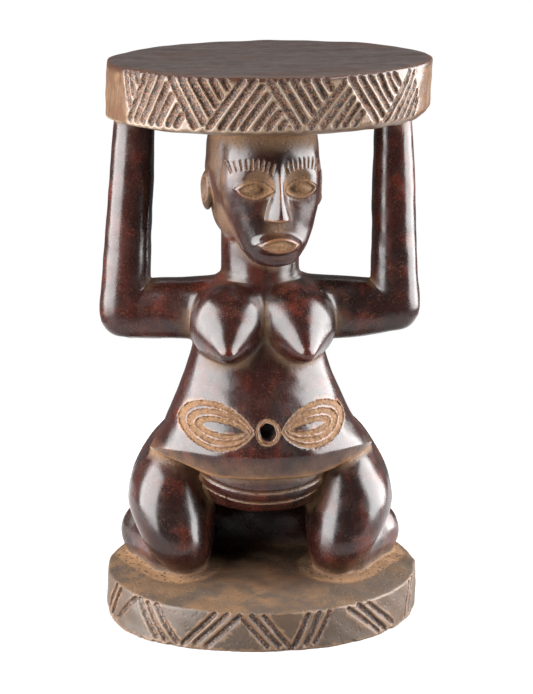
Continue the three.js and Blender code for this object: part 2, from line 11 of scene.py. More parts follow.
import bpy
import numpy as np
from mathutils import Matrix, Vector


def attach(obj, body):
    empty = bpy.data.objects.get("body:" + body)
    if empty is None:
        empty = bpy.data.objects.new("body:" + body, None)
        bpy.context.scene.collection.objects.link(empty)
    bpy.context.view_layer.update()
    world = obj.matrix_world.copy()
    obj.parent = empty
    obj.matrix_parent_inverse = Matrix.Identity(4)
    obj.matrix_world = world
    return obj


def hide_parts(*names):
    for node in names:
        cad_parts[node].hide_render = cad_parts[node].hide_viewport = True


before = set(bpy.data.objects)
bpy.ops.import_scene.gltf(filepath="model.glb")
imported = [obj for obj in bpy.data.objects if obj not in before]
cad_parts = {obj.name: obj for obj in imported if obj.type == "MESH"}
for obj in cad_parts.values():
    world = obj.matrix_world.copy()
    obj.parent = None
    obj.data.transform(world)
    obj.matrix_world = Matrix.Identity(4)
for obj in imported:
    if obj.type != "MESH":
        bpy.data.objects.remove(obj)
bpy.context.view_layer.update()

# Driving dimensions, the same as the solid's
STOOL_HEIGHT = 421.0
SEAT_RADIUS = 120.0
SEAT_THICKNESS = 41.0
BASE_RADIUS = 119.5
BASE_THICKNESS = 30.0
BASE_CROWN = 6.0
BASE_FLARE = 6.5
SEAT_CENTRE_X = 4.0
BASE_CENTRE_X = -2.0
BODY_CENTRE_X = -3.0
BODY_TURN = 5.0
HEAD_TURN = 13.0
HEAD_HEIGHT = 110.0
HEAD_WIDTH = 84.0
SEAT_BOTTOM = STOOL_HEIGHT - SEAT_THICKNESS
SEAT_TILT = 0.009
SEAT_LEAN = 1.6
SEAT_SAG = 1.6
CHIN_HEIGHT = SEAT_BOTTOM - HEAD_HEIGHT + 2.0

VOXEL = 0.8
TRIANGLES = 190000
METRE = 0.001
SEED = 41


# Distance helpers. Points are arrays of x, y, z, and a distance is negative inside the wood.

def smooth_min(a, b, width):
    mix = np.maximum(width - np.abs(a - b), 0.0) / width
    return np.minimum(a, b) - mix * mix * width * 0.25


def smooth_max(a, b, width):
    return -smooth_min(-a, -b, width)


def smooth_step(low, high, value):
    share = np.clip((value - low) / (high - low), 0.0, 1.0)
    return share * share * (3.0 - 2.0 * share)


def turned(points, degrees, x=BODY_CENTRE_X, y=0.0):
    """The points as seen by a form that is turned by some degrees about the upright axis at x, y."""
    cos = math.cos(math.radians(degrees))
    sin = math.sin(math.radians(degrees))
    east = points[:, 0] - x
    north = points[:, 1] - y
    return np.stack([east * cos + north * sin + x, north * cos - east * sin + y, points[:, 2]], axis=1)


def mirrored(points, x=BODY_CENTRE_X):
    return np.stack([2.0 * x - points[:, 0], points[:, 1], points[:, 2]], axis=1)


class Waves:
    """Slow, even unevenness: a sum of waves in fixed directions, about -1 to 1."""

    COUNT = 7

    def __init__(self, wavelength, seed):
        draw = np.random.default_rng(SEED + seed)
        directions = draw.normal(size=(self.COUNT, 3))
        directions /= np.linalg.norm(directions, axis=1, keepdims=True)
        lengths = wavelength * draw.uniform(0.7, 1.5, size=self.COUNT)
        self.waves = (directions * (2.0 * math.pi / lengths)[:, None]).T.astype(np.float32)
        self.phases = draw.uniform(0.0, 2.0 * math.pi, size=self.COUNT).astype(np.float32)

    def __call__(self, points):
        return np.sin(points @ self.waves + self.phases).sum(axis=1) / math.sqrt(self.COUNT)


class Loft:
    """An upright form through level sections [height, left, right, front, back, squareness]."""

    STEP = 0.5
    SUBDIVISIONS = 60

    def __init__(self, sections, cap=1.5):
        sections = np.array(sections, dtype=float)
        spans = len(sections) - 1
        along = np.linspace(0.0, spans, spans * self.SUBDIVISIONS + 1)
        curve = [self.smooth_values(column, along) for column in sections.T]
        self.bottom = sections[0, 0]
        self.top = sections[-1, 0]
        self.cap = cap
        heights = np.arange(self.bottom, self.top + self.STEP, self.STEP)
        left, right, front, back, power = (np.interp(heights, curve[0], column) for column in curve[1:])
        columns = [(left + right) / 2, (front + back) / 2, (right - left) / 2, (back - front) / 2, power]
        slopes = [np.gradient(column, self.STEP) for column in columns[:4]]
        self.table = np.stack(columns + slopes, axis=1).astype(np.float32)
        self.low = np.array([left.min(), front.min(), self.bottom])
        self.high = np.array([right.max(), back.max(), self.top])

    @staticmethod
    def smooth_values(values, along):
        step = np.minimum(along.astype(int), len(values) - 2)
        t = along - step
        a = values[np.maximum(step - 1, 0)]
        b = values[step]
        c = values[step + 1]
        d = values[np.minimum(step + 2, len(values) - 1)]
        slope_in = (c - a) / 2
        slope_out = (d - b) / 2
        curl = 3 * (c - b) - 2 * slope_in - slope_out
        return b + t * (slope_in + t * (curl + t * (2 * (b - c) + slope_in + slope_out)))

    def section(self, height):
        """The centre, half sizes, squareness and slopes at each height."""
        place = np.clip((height - self.bottom) / self.STEP, 0.0, len(self.table) - 1.001)
        step = place.astype(np.int32)
        share = (place - step)[:, None].astype(np.float32)
        return (self.table[step] * (1 - share) + self.table[step + 1] * share).T

    def __call__(self, points):
        x, y, height = points.T
        cx, cy, a, b, power, cx_rise, cy_rise, a_rise, b_rise = self.section(height)
        u = (x - cx) / a
        v = (y - cy) / b
        size_u = np.abs(u) + 1e-4
        size_v = np.abs(v) + 1e-4
        pull_u = size_u ** (power - 1)
        pull_v = size_v ** (power - 1)
        total = size_u * pull_u + size_v * pull_v
        reach = total ** (1 / power)
        pull_u *= reach / total / a
        pull_v *= reach / total / b
        rise = pull_u * (np.sign(u) * cx_rise + size_u * a_rise)
        rise += pull_v * (np.sign(v) * cy_rise + size_v * b_rise)
        side = (reach - 1) / np.sqrt(pull_u * pull_u + pull_v * pull_v + rise * rise)
        return smooth_max(side, np.maximum(self.bottom - height, height - self.top), self.cap)


class RoundCone:
    """The surface that touches two balls."""

    def __init__(self, start, start_radius, end, end_radius):
        ends = np.array([start, end], dtype=np.float32)
        self.start = ends[0]
        self.axis = ends[1] - ends[0]
        self.radii = (start_radius, end_radius)
        self.low = ends.min(axis=0) - max(self.radii)
        self.high = ends.max(axis=0) + max(self.radii)

    def __call__(self, points):
        first, second = self.radii
        length = float(np.linalg.norm(self.axis))
        tilt = (first - second) / length
        flat = math.sqrt(1.0 - tilt * tilt)
        offset = points - self.start
        along = offset @ (self.axis / length)
        off = np.sqrt(np.maximum((offset * offset).sum(axis=1) - along * along, 0.0))
        near = np.sqrt(off * off + along * along) - first
        far = np.sqrt(off * off + (along - length) ** 2) - second
        turn = along * flat - off * tilt
        side = off * flat + along * tilt - first
        return np.where(turn < 0, near, np.where(turn > length * flat, far, side))


class Ball:
    """An ellipsoid."""

    def __init__(self, centre, half):
        self.centre = np.array(centre, dtype=np.float32)
        self.half = np.array(half, dtype=np.float32)
        self.low = self.centre - self.half
        self.high = self.centre + self.half

    def __call__(self, points):
        offset = (points - self.centre) / self.half
        reach = np.sqrt((offset * offset).sum(axis=1)) + 1e-6
        slope = np.sqrt(((offset / self.half) ** 2).sum(axis=1)) + 1e-6
        return reach * (reach - 1.0) / slope


def sampled(grid, row, column):
    """The values of a grid between its rows and columns."""
    row = np.clip(row, 0, grid.shape[0] - 1.01)
    column = np.clip(column, 0, grid.shape[1] - 1.01)
    r = row.astype(np.int32)
    c = column.astype(np.int32)
    v = (row - r).astype(np.float32)
    u = (column - c).astype(np.float32)
    low = grid[r, c] * (1 - u) + grid[r, c + 1] * u
    high = grid[r + 1, c] * (1 - u) + grid[r + 1, c + 1] * u
    return low * (1 - v) + high * v


def off_line(x, z, start, end):
    """The distance of flat places from a straight stroke."""
    along_x = end[0] - start[0]
    along_z = end[1] - start[1]
    x = x - start[0]
    z = z - start[1]
    share = np.clip((x * along_x + z * along_z) / (along_x ** 2 + along_z ** 2 + 1e-9), 0, 1)
    return np.hypot(x - share * along_x, z - share * along_z)


# Shared unevenness of the handwork

ADZE = Waves(46.0, 1)
KNIFE = Waves(19.0, 2)
GOUGE = Waves(6.5, 3)
FINE = Waves(3.2, 4)


# Seat and base

def rim_angle(points, centre_x):
    return np.arctan2(points[:, 0] - centre_x, -points[:, 1])


def seat_wobble(angle):
    return 1 + 0.005 * np.cos(angle - 1.3) + 0.004 * np.cos(3 * angle) + 0.003 * np.cos(5 * angle + 2)


def base_wobble(angle):
    return 1 - 0.007 * np.cos(4 * angle) + 0.003 * np.cos(3 * angle + 0.5)


class RimCarving:
    """How deep the gouge strokes go at each place of an unrolled rim."""

    STEP = 0.3

    def __init__(self, radius, strokes, floor, top):
        self.radius = radius
        self.half_turn = math.pi * radius
        self.floor = floor
        columns = int(2 * self.half_turn / self.STEP) + 2
        rows = int(top / self.STEP - floor / self.STEP) + 2
        around = (np.arange(columns) * self.STEP - self.half_turn).astype(np.float32)
        up = (np.arange(rows) * self.STEP + floor).astype(np.float32)
        self.depths = np.zeros((rows, columns), dtype=np.float32)
        for start, end, half_width, depth in strokes:
            foot = (math.radians(start[0]) * radius, start[1])
            head = (math.radians(end[0]) * radius, end[1])
            middle = (foot[0] + head[0]) / 2
            # The shorter way round the rim from the stroke's middle
            turns = np.round((around - middle) / (2 * self.half_turn))
            place = around - turns * 2 * self.half_turn
            reach = abs(head[0] - foot[0]) / 2 + half_width + 1
            near = np.flatnonzero(np.abs(place - middle) < reach)
            off = off_line(place[near][None, :], up[:, None], foot, head) / half_width
            scoop = depth * np.clip(1 - off ** 2.4, 0, None)
            self.depths[:, near] = np.maximum(self.depths[:, near], scoop)

    def __call__(self, angle, height):
        row = (height - self.floor) / self.STEP
        column = (angle * self.radius + self.half_turn) / self.STEP
        return sampled(self.depths, row, column)


# The seat's rim: slanted lines that lean left and right in turn, with hatching between them.
# Each line is [middle angle from the front, lean to the right at the top], in degrees.
SEAT_LINES = [
    [-59.5, -5], [-53.7, 8.6], [-32, -9.8], [-16.3, 10.6], [3, -10],
    [18.6, 12], [31.8, -11.6], [48.3, 12.4], [63.5, -6],
]
REAR_LINES = 12
REAR_LINE_PITCH = 16.0
REAR_LINE_LEAN = 10.5
SEAT_STROKE_PITCH = 3.9
SEAT_STROKE_LOW = SEAT_BOTTOM + 6.5
SEAT_STROKE_HIGH = STOOL_HEIGHT - 3.6
SEAT_STROKE_DEPTH = 2.2
SEAT_RIDGE_WIDTH = 0.9
SHORTEST_STROKE = 0.16


def hatching(line, next_line, draw):
    """Strokes beside a line and parallel to it, which stop at the next line."""
    middle, lean = line
    next_middle, next_lean = next_line
    rise = SEAT_STROKE_HIGH - SEAT_STROKE_LOW
    slant = math.atan2(math.radians(abs(lean)) * SEAT_RADIUS, rise)
    strokes = []
    shift = SEAT_STROKE_PITCH * 0.55
    while True:
        # Where the stroke meets the next line, from 0 at the rim's lower edge to 1 at its top
        meeting = 0.5 + (next_middle - middle - shift) / (lean - next_lean)
        full = meeting if lean > 0 else 1 - meeting
        if full < SHORTEST_STROKE:
            return strokes
        full = min(full - 0.06, 1.0)
        ends = []
        for share in (0.0, full) if lean > 0 else (1 - full, 1.0):
            angle = middle + shift + lean * (share - 0.5) + draw.uniform(-0.25, 0.25)
            ends.append((angle, SEAT_STROKE_LOW + rise * share))
        pitch = SEAT_STROKE_PITCH * draw.uniform(0.93, 1.07)
        width = math.radians(pitch) * SEAT_RADIUS * math.cos(slant) - SEAT_RIDGE_WIDTH
        strokes.append((*ends, width / 2, SEAT_STROKE_DEPTH * draw.uniform(0.8, 1.1)))
        shift += pitch


def seat_strokes():
    draw = np.random.default_rng(SEED)
    rear = []
    for i in range(REAR_LINES):
        rear.append([180 + REAR_LINE_PITCH * (i - (REAR_LINES - 1) / 2), REAR_LINE_LEAN * (-1) ** i])
    strokes = []
    for lines in (SEAT_LINES, rear):
        for line, next_line in zip(lines[:-1], lines[1:]):
            strokes += hatching(line, next_line, draw)
    return strokes


# The base's rim: groups of strokes that lean left and right in turn, with plain wood between.
# Each group is [middle angle, lean in degrees, strokes].
BASE_FRONT_GROUPS = [
    [-68, -8, 2], [-57, -12, 1], [-39.5, 9.5, 3], [-17.5, -11, 3],
    [1.5, 9.5, 3], [18.5, -5, 3], [44, 13.5, 3], [70, -5, 2],
]
BASE_REAR_GROUPS = 7
BASE_REAR_PITCH = 26.0
BASE_REAR_LEAN = 9
BASE_REAR_STROKES = 3
BASE_STROKE_PITCH = 4.3
BASE_STROKE_LOW = 4.0
BASE_STROKE_HIGH = BASE_THICKNESS - 3.0
BASE_STROKE_DEPTH = 2.1


def base_strokes():
    draw = np.random.default_rng(SEED + 1)
    groups = list(BASE_FRONT_GROUPS)
    for i in range(BASE_REAR_GROUPS):
        middle = 180 + BASE_REAR_PITCH * (i - (BASE_REAR_GROUPS - 1) / 2)
        groups.append([middle, BASE_REAR_LEAN * (-1) ** i, BASE_REAR_STROKES])
    strokes = []
    for middle, lean, count in groups:
        for i in range(count):
            angle = middle + BASE_STROKE_PITCH * (i - (count - 1) / 2) + draw.uniform(-0.3, 0.3)
            foot = (angle + lean / 2 + draw.uniform(-0.5, 0.5), BASE_STROKE_LOW + draw.uniform(-1.5, 1.5))
            head = (angle - lean / 2, BASE_STROKE_HIGH + draw.uniform(-0.8, 0.8))
            strokes.append((foot, head, draw.uniform(2.3, 2.8), BASE_STROKE_DEPTH * draw.uniform(0.8, 1.1)))
    return strokes


SEAT_CARVING = RimCarving(SEAT_RADIUS, seat_strokes(), SEAT_BOTTOM, STOOL_HEIGHT)
BASE_CARVING = RimCarving(BASE_RADIUS, base_strokes(), 0.0, BASE_THICKNESS)


def seat_frame(points):
    """The points as the seat sees them: it tips to the left, and its underside leans and sags."""
    x, y, z = points.T
    fallen = (STOOL_HEIGHT - z) / SEAT_THICKNESS
    tipped = z + SEAT_TILT * (SEAT_CENTRE_X - x) + SEAT_SAG * fallen
    return np.stack([x + SEAT_LEAN * fallen, y, tipped], axis=1)


class Seat:
    low = np.array([-SEAT_RADIUS - 4, -SEAT_RADIUS - 4, SEAT_BOTTOM - 4])
    high = np.array([SEAT_RADIUS + 8, SEAT_RADIUS + 4, STOOL_HEIGHT + 2])
    bevel_width = 7.0

    def __call__(self, points):
        knife = KNIFE(points)
        seated = seat_frame(points)
        x, y, height = seated.T
        angle = rim_angle(seated, SEAT_CENTRE_X)
        reach = np.hypot(x - SEAT_CENTRE_X, y) / seat_wobble(angle)
        outside = reach - SEAT_RADIUS
        depth = SEAT_CARVING(angle, height) * (1 + 0.16 * GOUGE(seated))
        # The bevel is deepest on the right.
        bevel_height = 4.0 + 2.2 * np.sin(angle)
        bevel = (outside + self.bevel_width) * bevel_height - (height - SEAT_BOTTOM) * self.bevel_width
        bevel = bevel / np.hypot(self.bevel_width, bevel_height) + 0.3 * knife
        hollow = 1.5 * (1 - smooth_step(SEAT_RADIUS * 0.5, SEAT_RADIUS * 0.9, reach))
        worn = 1.3 * smooth_step(SEAT_RADIUS - 9, SEAT_RADIUS, reach) ** 2
        top = height - (STOOL_HEIGHT - hollow - worn) + 0.35 * ADZE(seated) + 0.1 * knife
        body = smooth_max(outside + depth + 0.35 * knife, top, 2.0)
        body = smooth_max(body, bevel, 1.6)
        return smooth_max(body, SEAT_BOTTOM - height + 0.3 * knife, 1.6)


class Base:
    low = np.array([-BASE_RADIUS - 4, -BASE_RADIUS - 4, 0.0])
    high = np.array([BASE_RADIUS + 2, BASE_RADIUS + 4, BASE_THICKNESS + BASE_CROWN])
    crown_reach = np.array([0, 0.55, 0.68, 0.82, 0.94, 1.0]) * BASE_RADIUS
    crown_height = np.array([1.0, 1.0, 0.88, 0.6, 0.2, -0.05]) * BASE_CROWN + BASE_THICKNESS

    def __call__(self, points):
        x, y, height = points.T
        angle = rim_angle(points, BASE_CENTRE_X)
        knife = KNIFE(points)
        gouge = GOUGE(points)
        reach = np.hypot(x - BASE_CENTRE_X, y) / base_wobble(angle)
        # The rim flares towards the ground at the left of the front.
        flare = BASE_FLARE * np.exp(-((angle + 0.8) / 0.42) ** 2)
        reach -= flare * np.clip(1 - height / BASE_THICKNESS, 0, 1)
        depth = BASE_CARVING(angle, height) * (1 + 0.14 * gouge)
        side = reach - BASE_RADIUS + depth + 0.4 * knife
        crown = np.interp(reach, self.crown_reach, self.crown_height)
        top = height - crown + 0.45 * knife + 0.12 * gouge
        # The lower edge is worn and chipped.
        chips = np.clip(gouge + 0.8 * knife - 0.35, 0, 1.6) * np.exp(-(height / 3.2) ** 2) * 0.9
        edge = (side - height - 0.2 + 2.2 * chips) * 0.75
        body = smooth_max(smooth_max(side, top, 2.0), edge, 1.5)
        return smooth_max(body, -height, 0.6)


# Trunk

RIDGE_HEIGHT = 118.0
RIDGE_RISE = 10.0
TRUNK = Loft([
    [RIDGE_HEIGHT, -88, 82, -79, 46, 1.85],
    [135, -82, 76, -78.5, 46, 1.95],
    [154, -74.3, 64.2, -72, 41, 2.1],
    [173, -65.8, 55.2, -60, 36, 2.2],
    [190, -59.5, 48.5, -51, 34, 2.3],
    [206, -54.2, 44.8, -46, 34, 2.4],
    [226, -50.5, 43.5, -42, 32, 2.5],
    [246, -46, 40, -34, 26, 2.4],
    [257, -34, 28, -24, 20, 2.2],
], cap=1.2)

# The belly's lower part slants back to the ridge, like an apron between the hips.
APRON = Loft([
    [RIDGE_HEIGHT - 2, -88.5, 82.5, -73, 60, 1.85],
    [RIDGE_HEIGHT + 22, -95, 89, -80.5, 60, 1.82],
    [RIDGE_HEIGHT + 50, -110, 104, -89, 60, 1.85],
    [300, -190, 184, -160, 90, 1.9],
], cap=0.5)

# The belly's pattern: two leaves of nested lines, and a ring round the navel.
NAVEL_HEIGHT = 153.0
NAVEL_RADIUS = 6.2
NAVEL_RING_RADIUS = 8.4
NAVEL_FLOOR = -62.0
LEAF_START = 9.5
LEAF_TILT = 0.095
LEAF_LINES = 3
LEAF_LINE_WIDTH = 3.5
LEAF_DEPTH = 1.25
NAVEL_RING_HALF_WIDTH = 0.75
OFF_PATTERN = 20.0
LEAVES = [{"side": -1, "length": 54.0, "half": 16.6}, {"side": 1, "length": 50.0, "half": 15.4}]


def leaf_line(leaf, line, angle):
    """Points of one line of a leaf: pointed at the navel, blunt outside."""
    inset = line * 4.9
    length = leaf["length"] - 3 - inset * 1.7
    half = leaf["half"] - 1.5 - inset
    share = (1 - np.cos(angle)) / 2
    outline = 2.53 * share ** 0.75 * (1 - share) ** 0.6
    reach = LEAF_START + 1.5 + line * 2.5 + length * share
    rise = np.sign(np.sin(angle)) * half * outline
    return np.stack([leaf["side"] * reach, LEAF_TILT * (reach - LEAF_START) + rise], axis=1)


class BellyPattern:
    """How far each place of the belly is from the edge of the nearest groove, negative inside it."""

    STEP = 0.4
    PIECE = 20
    low = (-74.0, -26.0)
    high = (68.0, 34.0)

    def __init__(self):
        sides = [np.arange(a, b, self.STEP, dtype=np.float32) for a, b in zip(self.low, self.high)]
        self.x, self.z = np.meshgrid(*sides)
        self.off = np.full(self.x.shape, OFF_PATTERN, dtype=np.float32)
        turn = np.linspace(0, 2 * math.pi, 361)[:-1]
        # A line is narrow at the navel and widens outwards.
        share = (1 - np.cos(turn)) / 2
        spread = 0.42 + 0.58 * smooth_step(0.02, 0.5, share) + 0.3 * smooth_step(0.75, 1.0, share)
        for leaf in LEAVES:
            for line in range(LEAF_LINES):
                self.carve(leaf_line(leaf, line, turn), LEAF_LINE_WIDTH / 2 * spread)
        ring = NAVEL_RING_RADIUS * (1 + 0.03 * np.cos(3 * turn))
        ring_line = np.stack([ring * np.cos(turn), ring * np.sin(turn)], axis=1)
        self.carve(ring_line, np.full(len(turn), NAVEL_RING_HALF_WIDTH))

    def carve(self, line, half_widths):
        """Lowers the distances round a closed line, one short piece after another."""
        line = np.append(line, line[:1], axis=0)
        for start in range(0, len(line) - 1, self.PIECE):
            piece = line[start:start + self.PIECE + 1].astype(np.float32)
            half_width = half_widths[start:start + self.PIECE].mean()
            low = piece.min(axis=0) - half_width - 2.0
            high = piece.max(axis=0) + half_width + 2.0
            columns = (self.x[0] > low[0]) & (self.x[0] < high[0])
            rows = (self.z[:, 0] > low[1]) & (self.z[:, 0] < high[1])
            window = np.ix_(rows, columns)
            parts = zip(piece[:-1], piece[1:])
            off = np.min([off_line(self.x[window], self.z[window], *part) for part in parts], axis=0)
            self.off[window] = np.minimum(self.off[window], off - half_width)

    def __call__(self, sideways, height):
        row = (height - self.low[1]) / self.STEP
        column = (sideways - self.low[0]) / self.STEP
        return sampled(self.off, row, column)


BELLY_PATTERN = BellyPattern()


def ridge_lift(x, height):
    """How far the lower edge of the belly has climbed towards the hips at a place."""
    def lift(lowered):
        sideways = smooth_step(30, 84, np.abs(x - BODY_CENTRE_X))
        return RIDGE_RISE * sideways * (1 - smooth_step(RIDGE_HEIGHT, 150, lowered))

    return lift(height - lift(height))


def belly_groove(points):
    """How far the pattern is from a place of the belly, OFF_PATTERN where it is far away."""
    off = BELLY_PATTERN(points[:, 0] - BODY_CENTRE_X, points[:, 2] - NAVEL_HEIGHT)
    return np.where(points[:, 1] < -20, off, OFF_PATTERN)


def navel_reach(points):
    """The distance from the navel's wall, negative inside the hole."""
    return np.hypot(points[:, 0] - BODY_CENTRE_X, points[:, 2] - NAVEL_HEIGHT) - NAVEL_RADIUS


class Trunk:
    low = TRUNK.low - 2
    high = TRUNK.high + np.array([2, 2, RIDGE_RISE])

    def __call__(self, points):
        x = points[:, 0]
        height = points[:, 2]
        lowered = np.stack([x, points[:, 1], height - ridge_lift(x, height)], axis=1)
        distance = smooth_max(TRUNK(lowered), APRON(lowered), 1.2)
        # A shallow furrow runs down the back.
        behind = np.exp(-((x - BODY_CENTRE_X) / 6.5) ** 2) * smooth_step(0, 20, points[:, 1])
        distance += 2.2 * behind * smooth_step(118, 150, height) * (1 - smooth_step(210, 245, height))
        off = belly_groove(points) + 0.22 * FINE(points)
        distance += LEAF_DEPTH * (1 - smooth_step(-0.9, 0.25, off)) * (1 + 0.2 * GOUGE(points))
        navel = np.maximum(navel_reach(points) + 0.4 * GOUGE(points), points[:, 1] - NAVEL_FLOOR)
        return np.where(points[:, 1] < NAVEL_FLOOR + 17, smooth_max(distance, -navel, 0.8), distance)


class Belly:
    """The lower belly, set back under the ridge, with bands of shallow arcs."""

    loft = Loft([
        [84, -34, 28, -40, 40, 2.2],
        [88, -44, 38, -55, 45, 2.3],
        [96, -50, 44, -63, 48, 2.3],
        [108, -54, 48, -68, 50, 2.4],
        [124, -54, 48, -68, 50, 2.4],
    ], cap=3.0)
    low = loft.low
    high = loft.high
    arcs = (97.0, 105.5)

    def __call__(self, points):
        distance = self.loft(points)
        sag = 0.0035 * (points[:, 0] - BODY_CENTRE_X) ** 2
        for arc in self.arcs:
            off = np.abs(points[:, 2] - arc - sag)
            distance += 1.1 * (1 - smooth_step(0.4, 2.2, off))
        return distance


# Chest and arms

BREASTS = [
    RoundCone([BODY_CENTRE_X + side * 24.5, -27, 225], 30, [BODY_CENTRE_X + side * 29, -64, 211.5], 7)
    for side in (-1, 1)
]

ARM_TOP = 253.5
ARM_BOTTOM = 208.0
BEAM_BOTTOM = 208.5
ELBOW_ROUNDING = 19


def forearm(elbow, wrist, half, bottom):
    """An arm from its rounded elbow up to the seat; elbow and wrist are its left and right edges."""
    outer, inner = (0, 1) if elbow[0] < 0 else (1, 0)
    inward = math.copysign(1, elbow[inner] - elbow[outer])
    start = bottom + ELBOW_ROUNDING
    sections = []
    for degrees in (88, 76, 64, 52, 40, 28, 15):
        angle = math.radians(degrees)
        ends = list(elbow)
        ends[outer] += inward * ELBOW_ROUNDING * (1 - math.cos(angle)) * 0.95
        depth = half * (0.3 + 0.7 * math.cos(angle) ** 0.8)
        sections.append([start - ELBOW_ROUNDING * math.sin(angle), *ends, -depth, depth, 2.4])
    sections.append([start + 6, *elbow, -half, half, 2.4])
    for share in (0.33, 0.66, 1.0):
        ends = [a + (b - a) * share for a, b in zip(elbow, wrist)]
        height = start + (SEAT_BOTTOM - start) * share
        sections.append([height, *ends, -half + 2 * share, half - 2 * share, 2.3])
    sections.append([SEAT_BOTTOM + 4, *wrist, -half + 2, half - 2, 2.3])
    return Loft(sections, cap=3.0)


FOREARMS = [
    forearm(elbow=(-124, -86), wrist=(-111, -80.5), half=19, bottom=ARM_BOTTOM + 2),
    forearm(elbow=(80, 117.5), wrist=(82, 110), half=18, bottom=ARM_BOTTOM + 7),
]

# Each section is [distance to the right, front, back]; the underside rises to the right.
BEAM_SECTIONS = [
    [-104, -18, 18], [-70, -20, 18], [-35, -24, 20], [BODY_CENTRE_X, -26, 22],
    [30, -24, 20], [65, -20, 18], [86, -19, 18], [102, -18, 18],
]
BEAM_RISE = 8.0
BEAM_RISE_START = 52
BEAM_RISE_LENGTH = 50


class Beam:
    """Both upper arms and the shoulders: one form that lies across the trunk."""

    middle = (ARM_TOP + BEAM_BOTTOM) / 2
    half = (ARM_TOP - BEAM_BOTTOM) / 2

    def __init__(self):
        sections = []
        for x, front, back in BEAM_SECTIONS:
            swell = 5 * math.exp(-(((x - BODY_CENTRE_X - 8) / 55) ** 2))
            rise = BEAM_RISE * (max(0.0, x - BEAM_RISE_START) / BEAM_RISE_LENGTH) ** 2
            sections.append([x, rise - self.half, self.half + swell, front, back, 2.5])
        self.loft = Loft(sections, cap=3.0)
        low, high = self.loft.low, self.loft.high
        self.low = np.array([low[2], low[1], low[0] + self.middle])
        self.high = np.array([high[2], high[1], high[0] + self.middle])

    def __call__(self, points):
        return self.loft(np.stack([points[:, 2] - self.middle, points[:, 1], points[:, 0]], axis=1))


BEAM = Beam()

# Legs, as on the left; the right ones are their mirror image

THIGH = Loft([
    [29, -67, -49, -40, -16, 2.0],
    [34, -72, -46, -47, -8, 2.0],
    [42, -80, -42, -56, 4, 2.1],
    [52, -88, -39, -62, 18, 2.2],
    [66, -96.5, -38, -63, 34, 2.4],
    [84, -103.5, -38, -59, 46, 2.4],
    [102, -101.5, -40, -54, 52, 2.4],
    [117, -94.5, -42, -46, 52, 2.4],
    [129, -86.5, -46, -34, 48, 2.3],
    [140, -77, -50, -20, 38, 2.2],
], cap=2.0)


def leg_forms():
    """The forms of the left leg, each with the width of its blend."""
    def beside(offset, y, z):
        return [BODY_CENTRE_X - offset, y, z]

    return [
        (THIGH, 1.5),
        (RoundCone(beside(65, -25, 48), 20, beside(84.5, 22, 50), 22.8), 2.0),
        (RoundCone(beside(84.5, 22, 50), 22.8, beside(68, 66, 48), 18), 4.0),
        (RoundCone(beside(66, 62, 46), 16, beside(48, 97, 41), 10), 5.0),
        (Ball(beside(37, 42, 104), [45, 41, 42]), 5.0),
    ]


LEG_FORMS = leg_forms()
HEEL_BLOCK = Loft([
    [32, -66, 60, 22, 74, 3],
    [60, -66, 60, 24, 74, 3],
    [90, -50, 44, 20, 66, 2.6],
], cap=6.0)

# Head and neck, about the head's own upright axis. The face is a carver's formula of almond eyes
# in round hollows, a long straight nose and rimmed lips.

HEAD_CENTRE_X = BODY_CENTRE_X + 2
HEAD_CENTRE_Y = -6.0
HALF = HEAD_WIDTH / 2
SKULL = Loft([
    [14, -HALF * 0.58, HALF * 0.58, -30, 26, 2.1],
    [26, -HALF * 0.82, HALF * 0.82, -38, 38, 2.1],
    [44, -HALF * 0.93, HALF * 0.93, -42, 47, 2.1],
    [64, -HALF, HALF, -46, 51, 2.1],
    [84, -HALF * 0.97, HALF * 0.97, -50, 50, 2.1],
    [100, -HALF * 0.92, HALF * 0.92, -49, 47, 2.1],
    [HEAD_HEIGHT + 1, -HALF * 0.9, HALF * 0.9, -46, 44, 2.1],
], cap=6.0)
MASK = Loft([
    [0, -9, 9.5, -47, -22, 2.2],
    [4, -16, 16.5, -52, -14, 2.3],
    [14, -24, 24.6, -53, -6, 2.4],
    [30, -31, 31.6, -52, 0, 2.4],
    [48, -35, 35.6, -52, 0, 2.4],
    [66, -36.5, 37, -54, 0, 2.3],
    [82, -35, 35.5, -54.5, 0, 2.2],
    [98, -33.5, 34, -51, 0, 2.1],
    [111, -32, 32.5, -46.5, 0, 2.1],
], cap=5.0)
NECK = Loft([
    [236, -40, 33, -36, 28, 2.1],
    [250, -34, 28, -32, 27, 2.1],
    [262, -32, 26, -30, 27, 2.1],
    [285, -32, 26, -30, 28, 2.1],
    [310, -32, 26, -28, 30, 2.1],
], cap=3.0)
NOSE = Loft([
    [36, -8.5, 8.5, -61.5, -42, 1.7],
    [38, -9.4, 9.4, -64, -42, 1.6],
    [44, -8.4, 8.4, -63.5, -42, 1.5],
    [54, -6.4, 6.4, -60.8, -42, 1.5],
    [64, -5.4, 5.4, -58.4, -42, 1.5],
    [74, -5.6, 5.6, -56.4, -42, 1.6],
    [84, -8.0, 8.0, -54.0, -42, 1.8],
], cap=1.6)
EYE_LEVEL = 60.0
EYE_SPACING = 17.5
EYE_SIZE = (11.5, 5.4)
MOUTH_LEVEL = 19.0
MOUTH_SIZE = (12.5, 4.2)
BROW_STROKES = 9


def almond(x, z, half_width, half_height):
    """The distance from an outline of two arcs that meet in points, negative inside."""
    radius = (half_width ** 2 + half_height ** 2) / (2 * half_height)
    offset = radius - half_height
    return np.maximum(np.hypot(x, z + offset), np.hypot(x, z - offset)) - radius


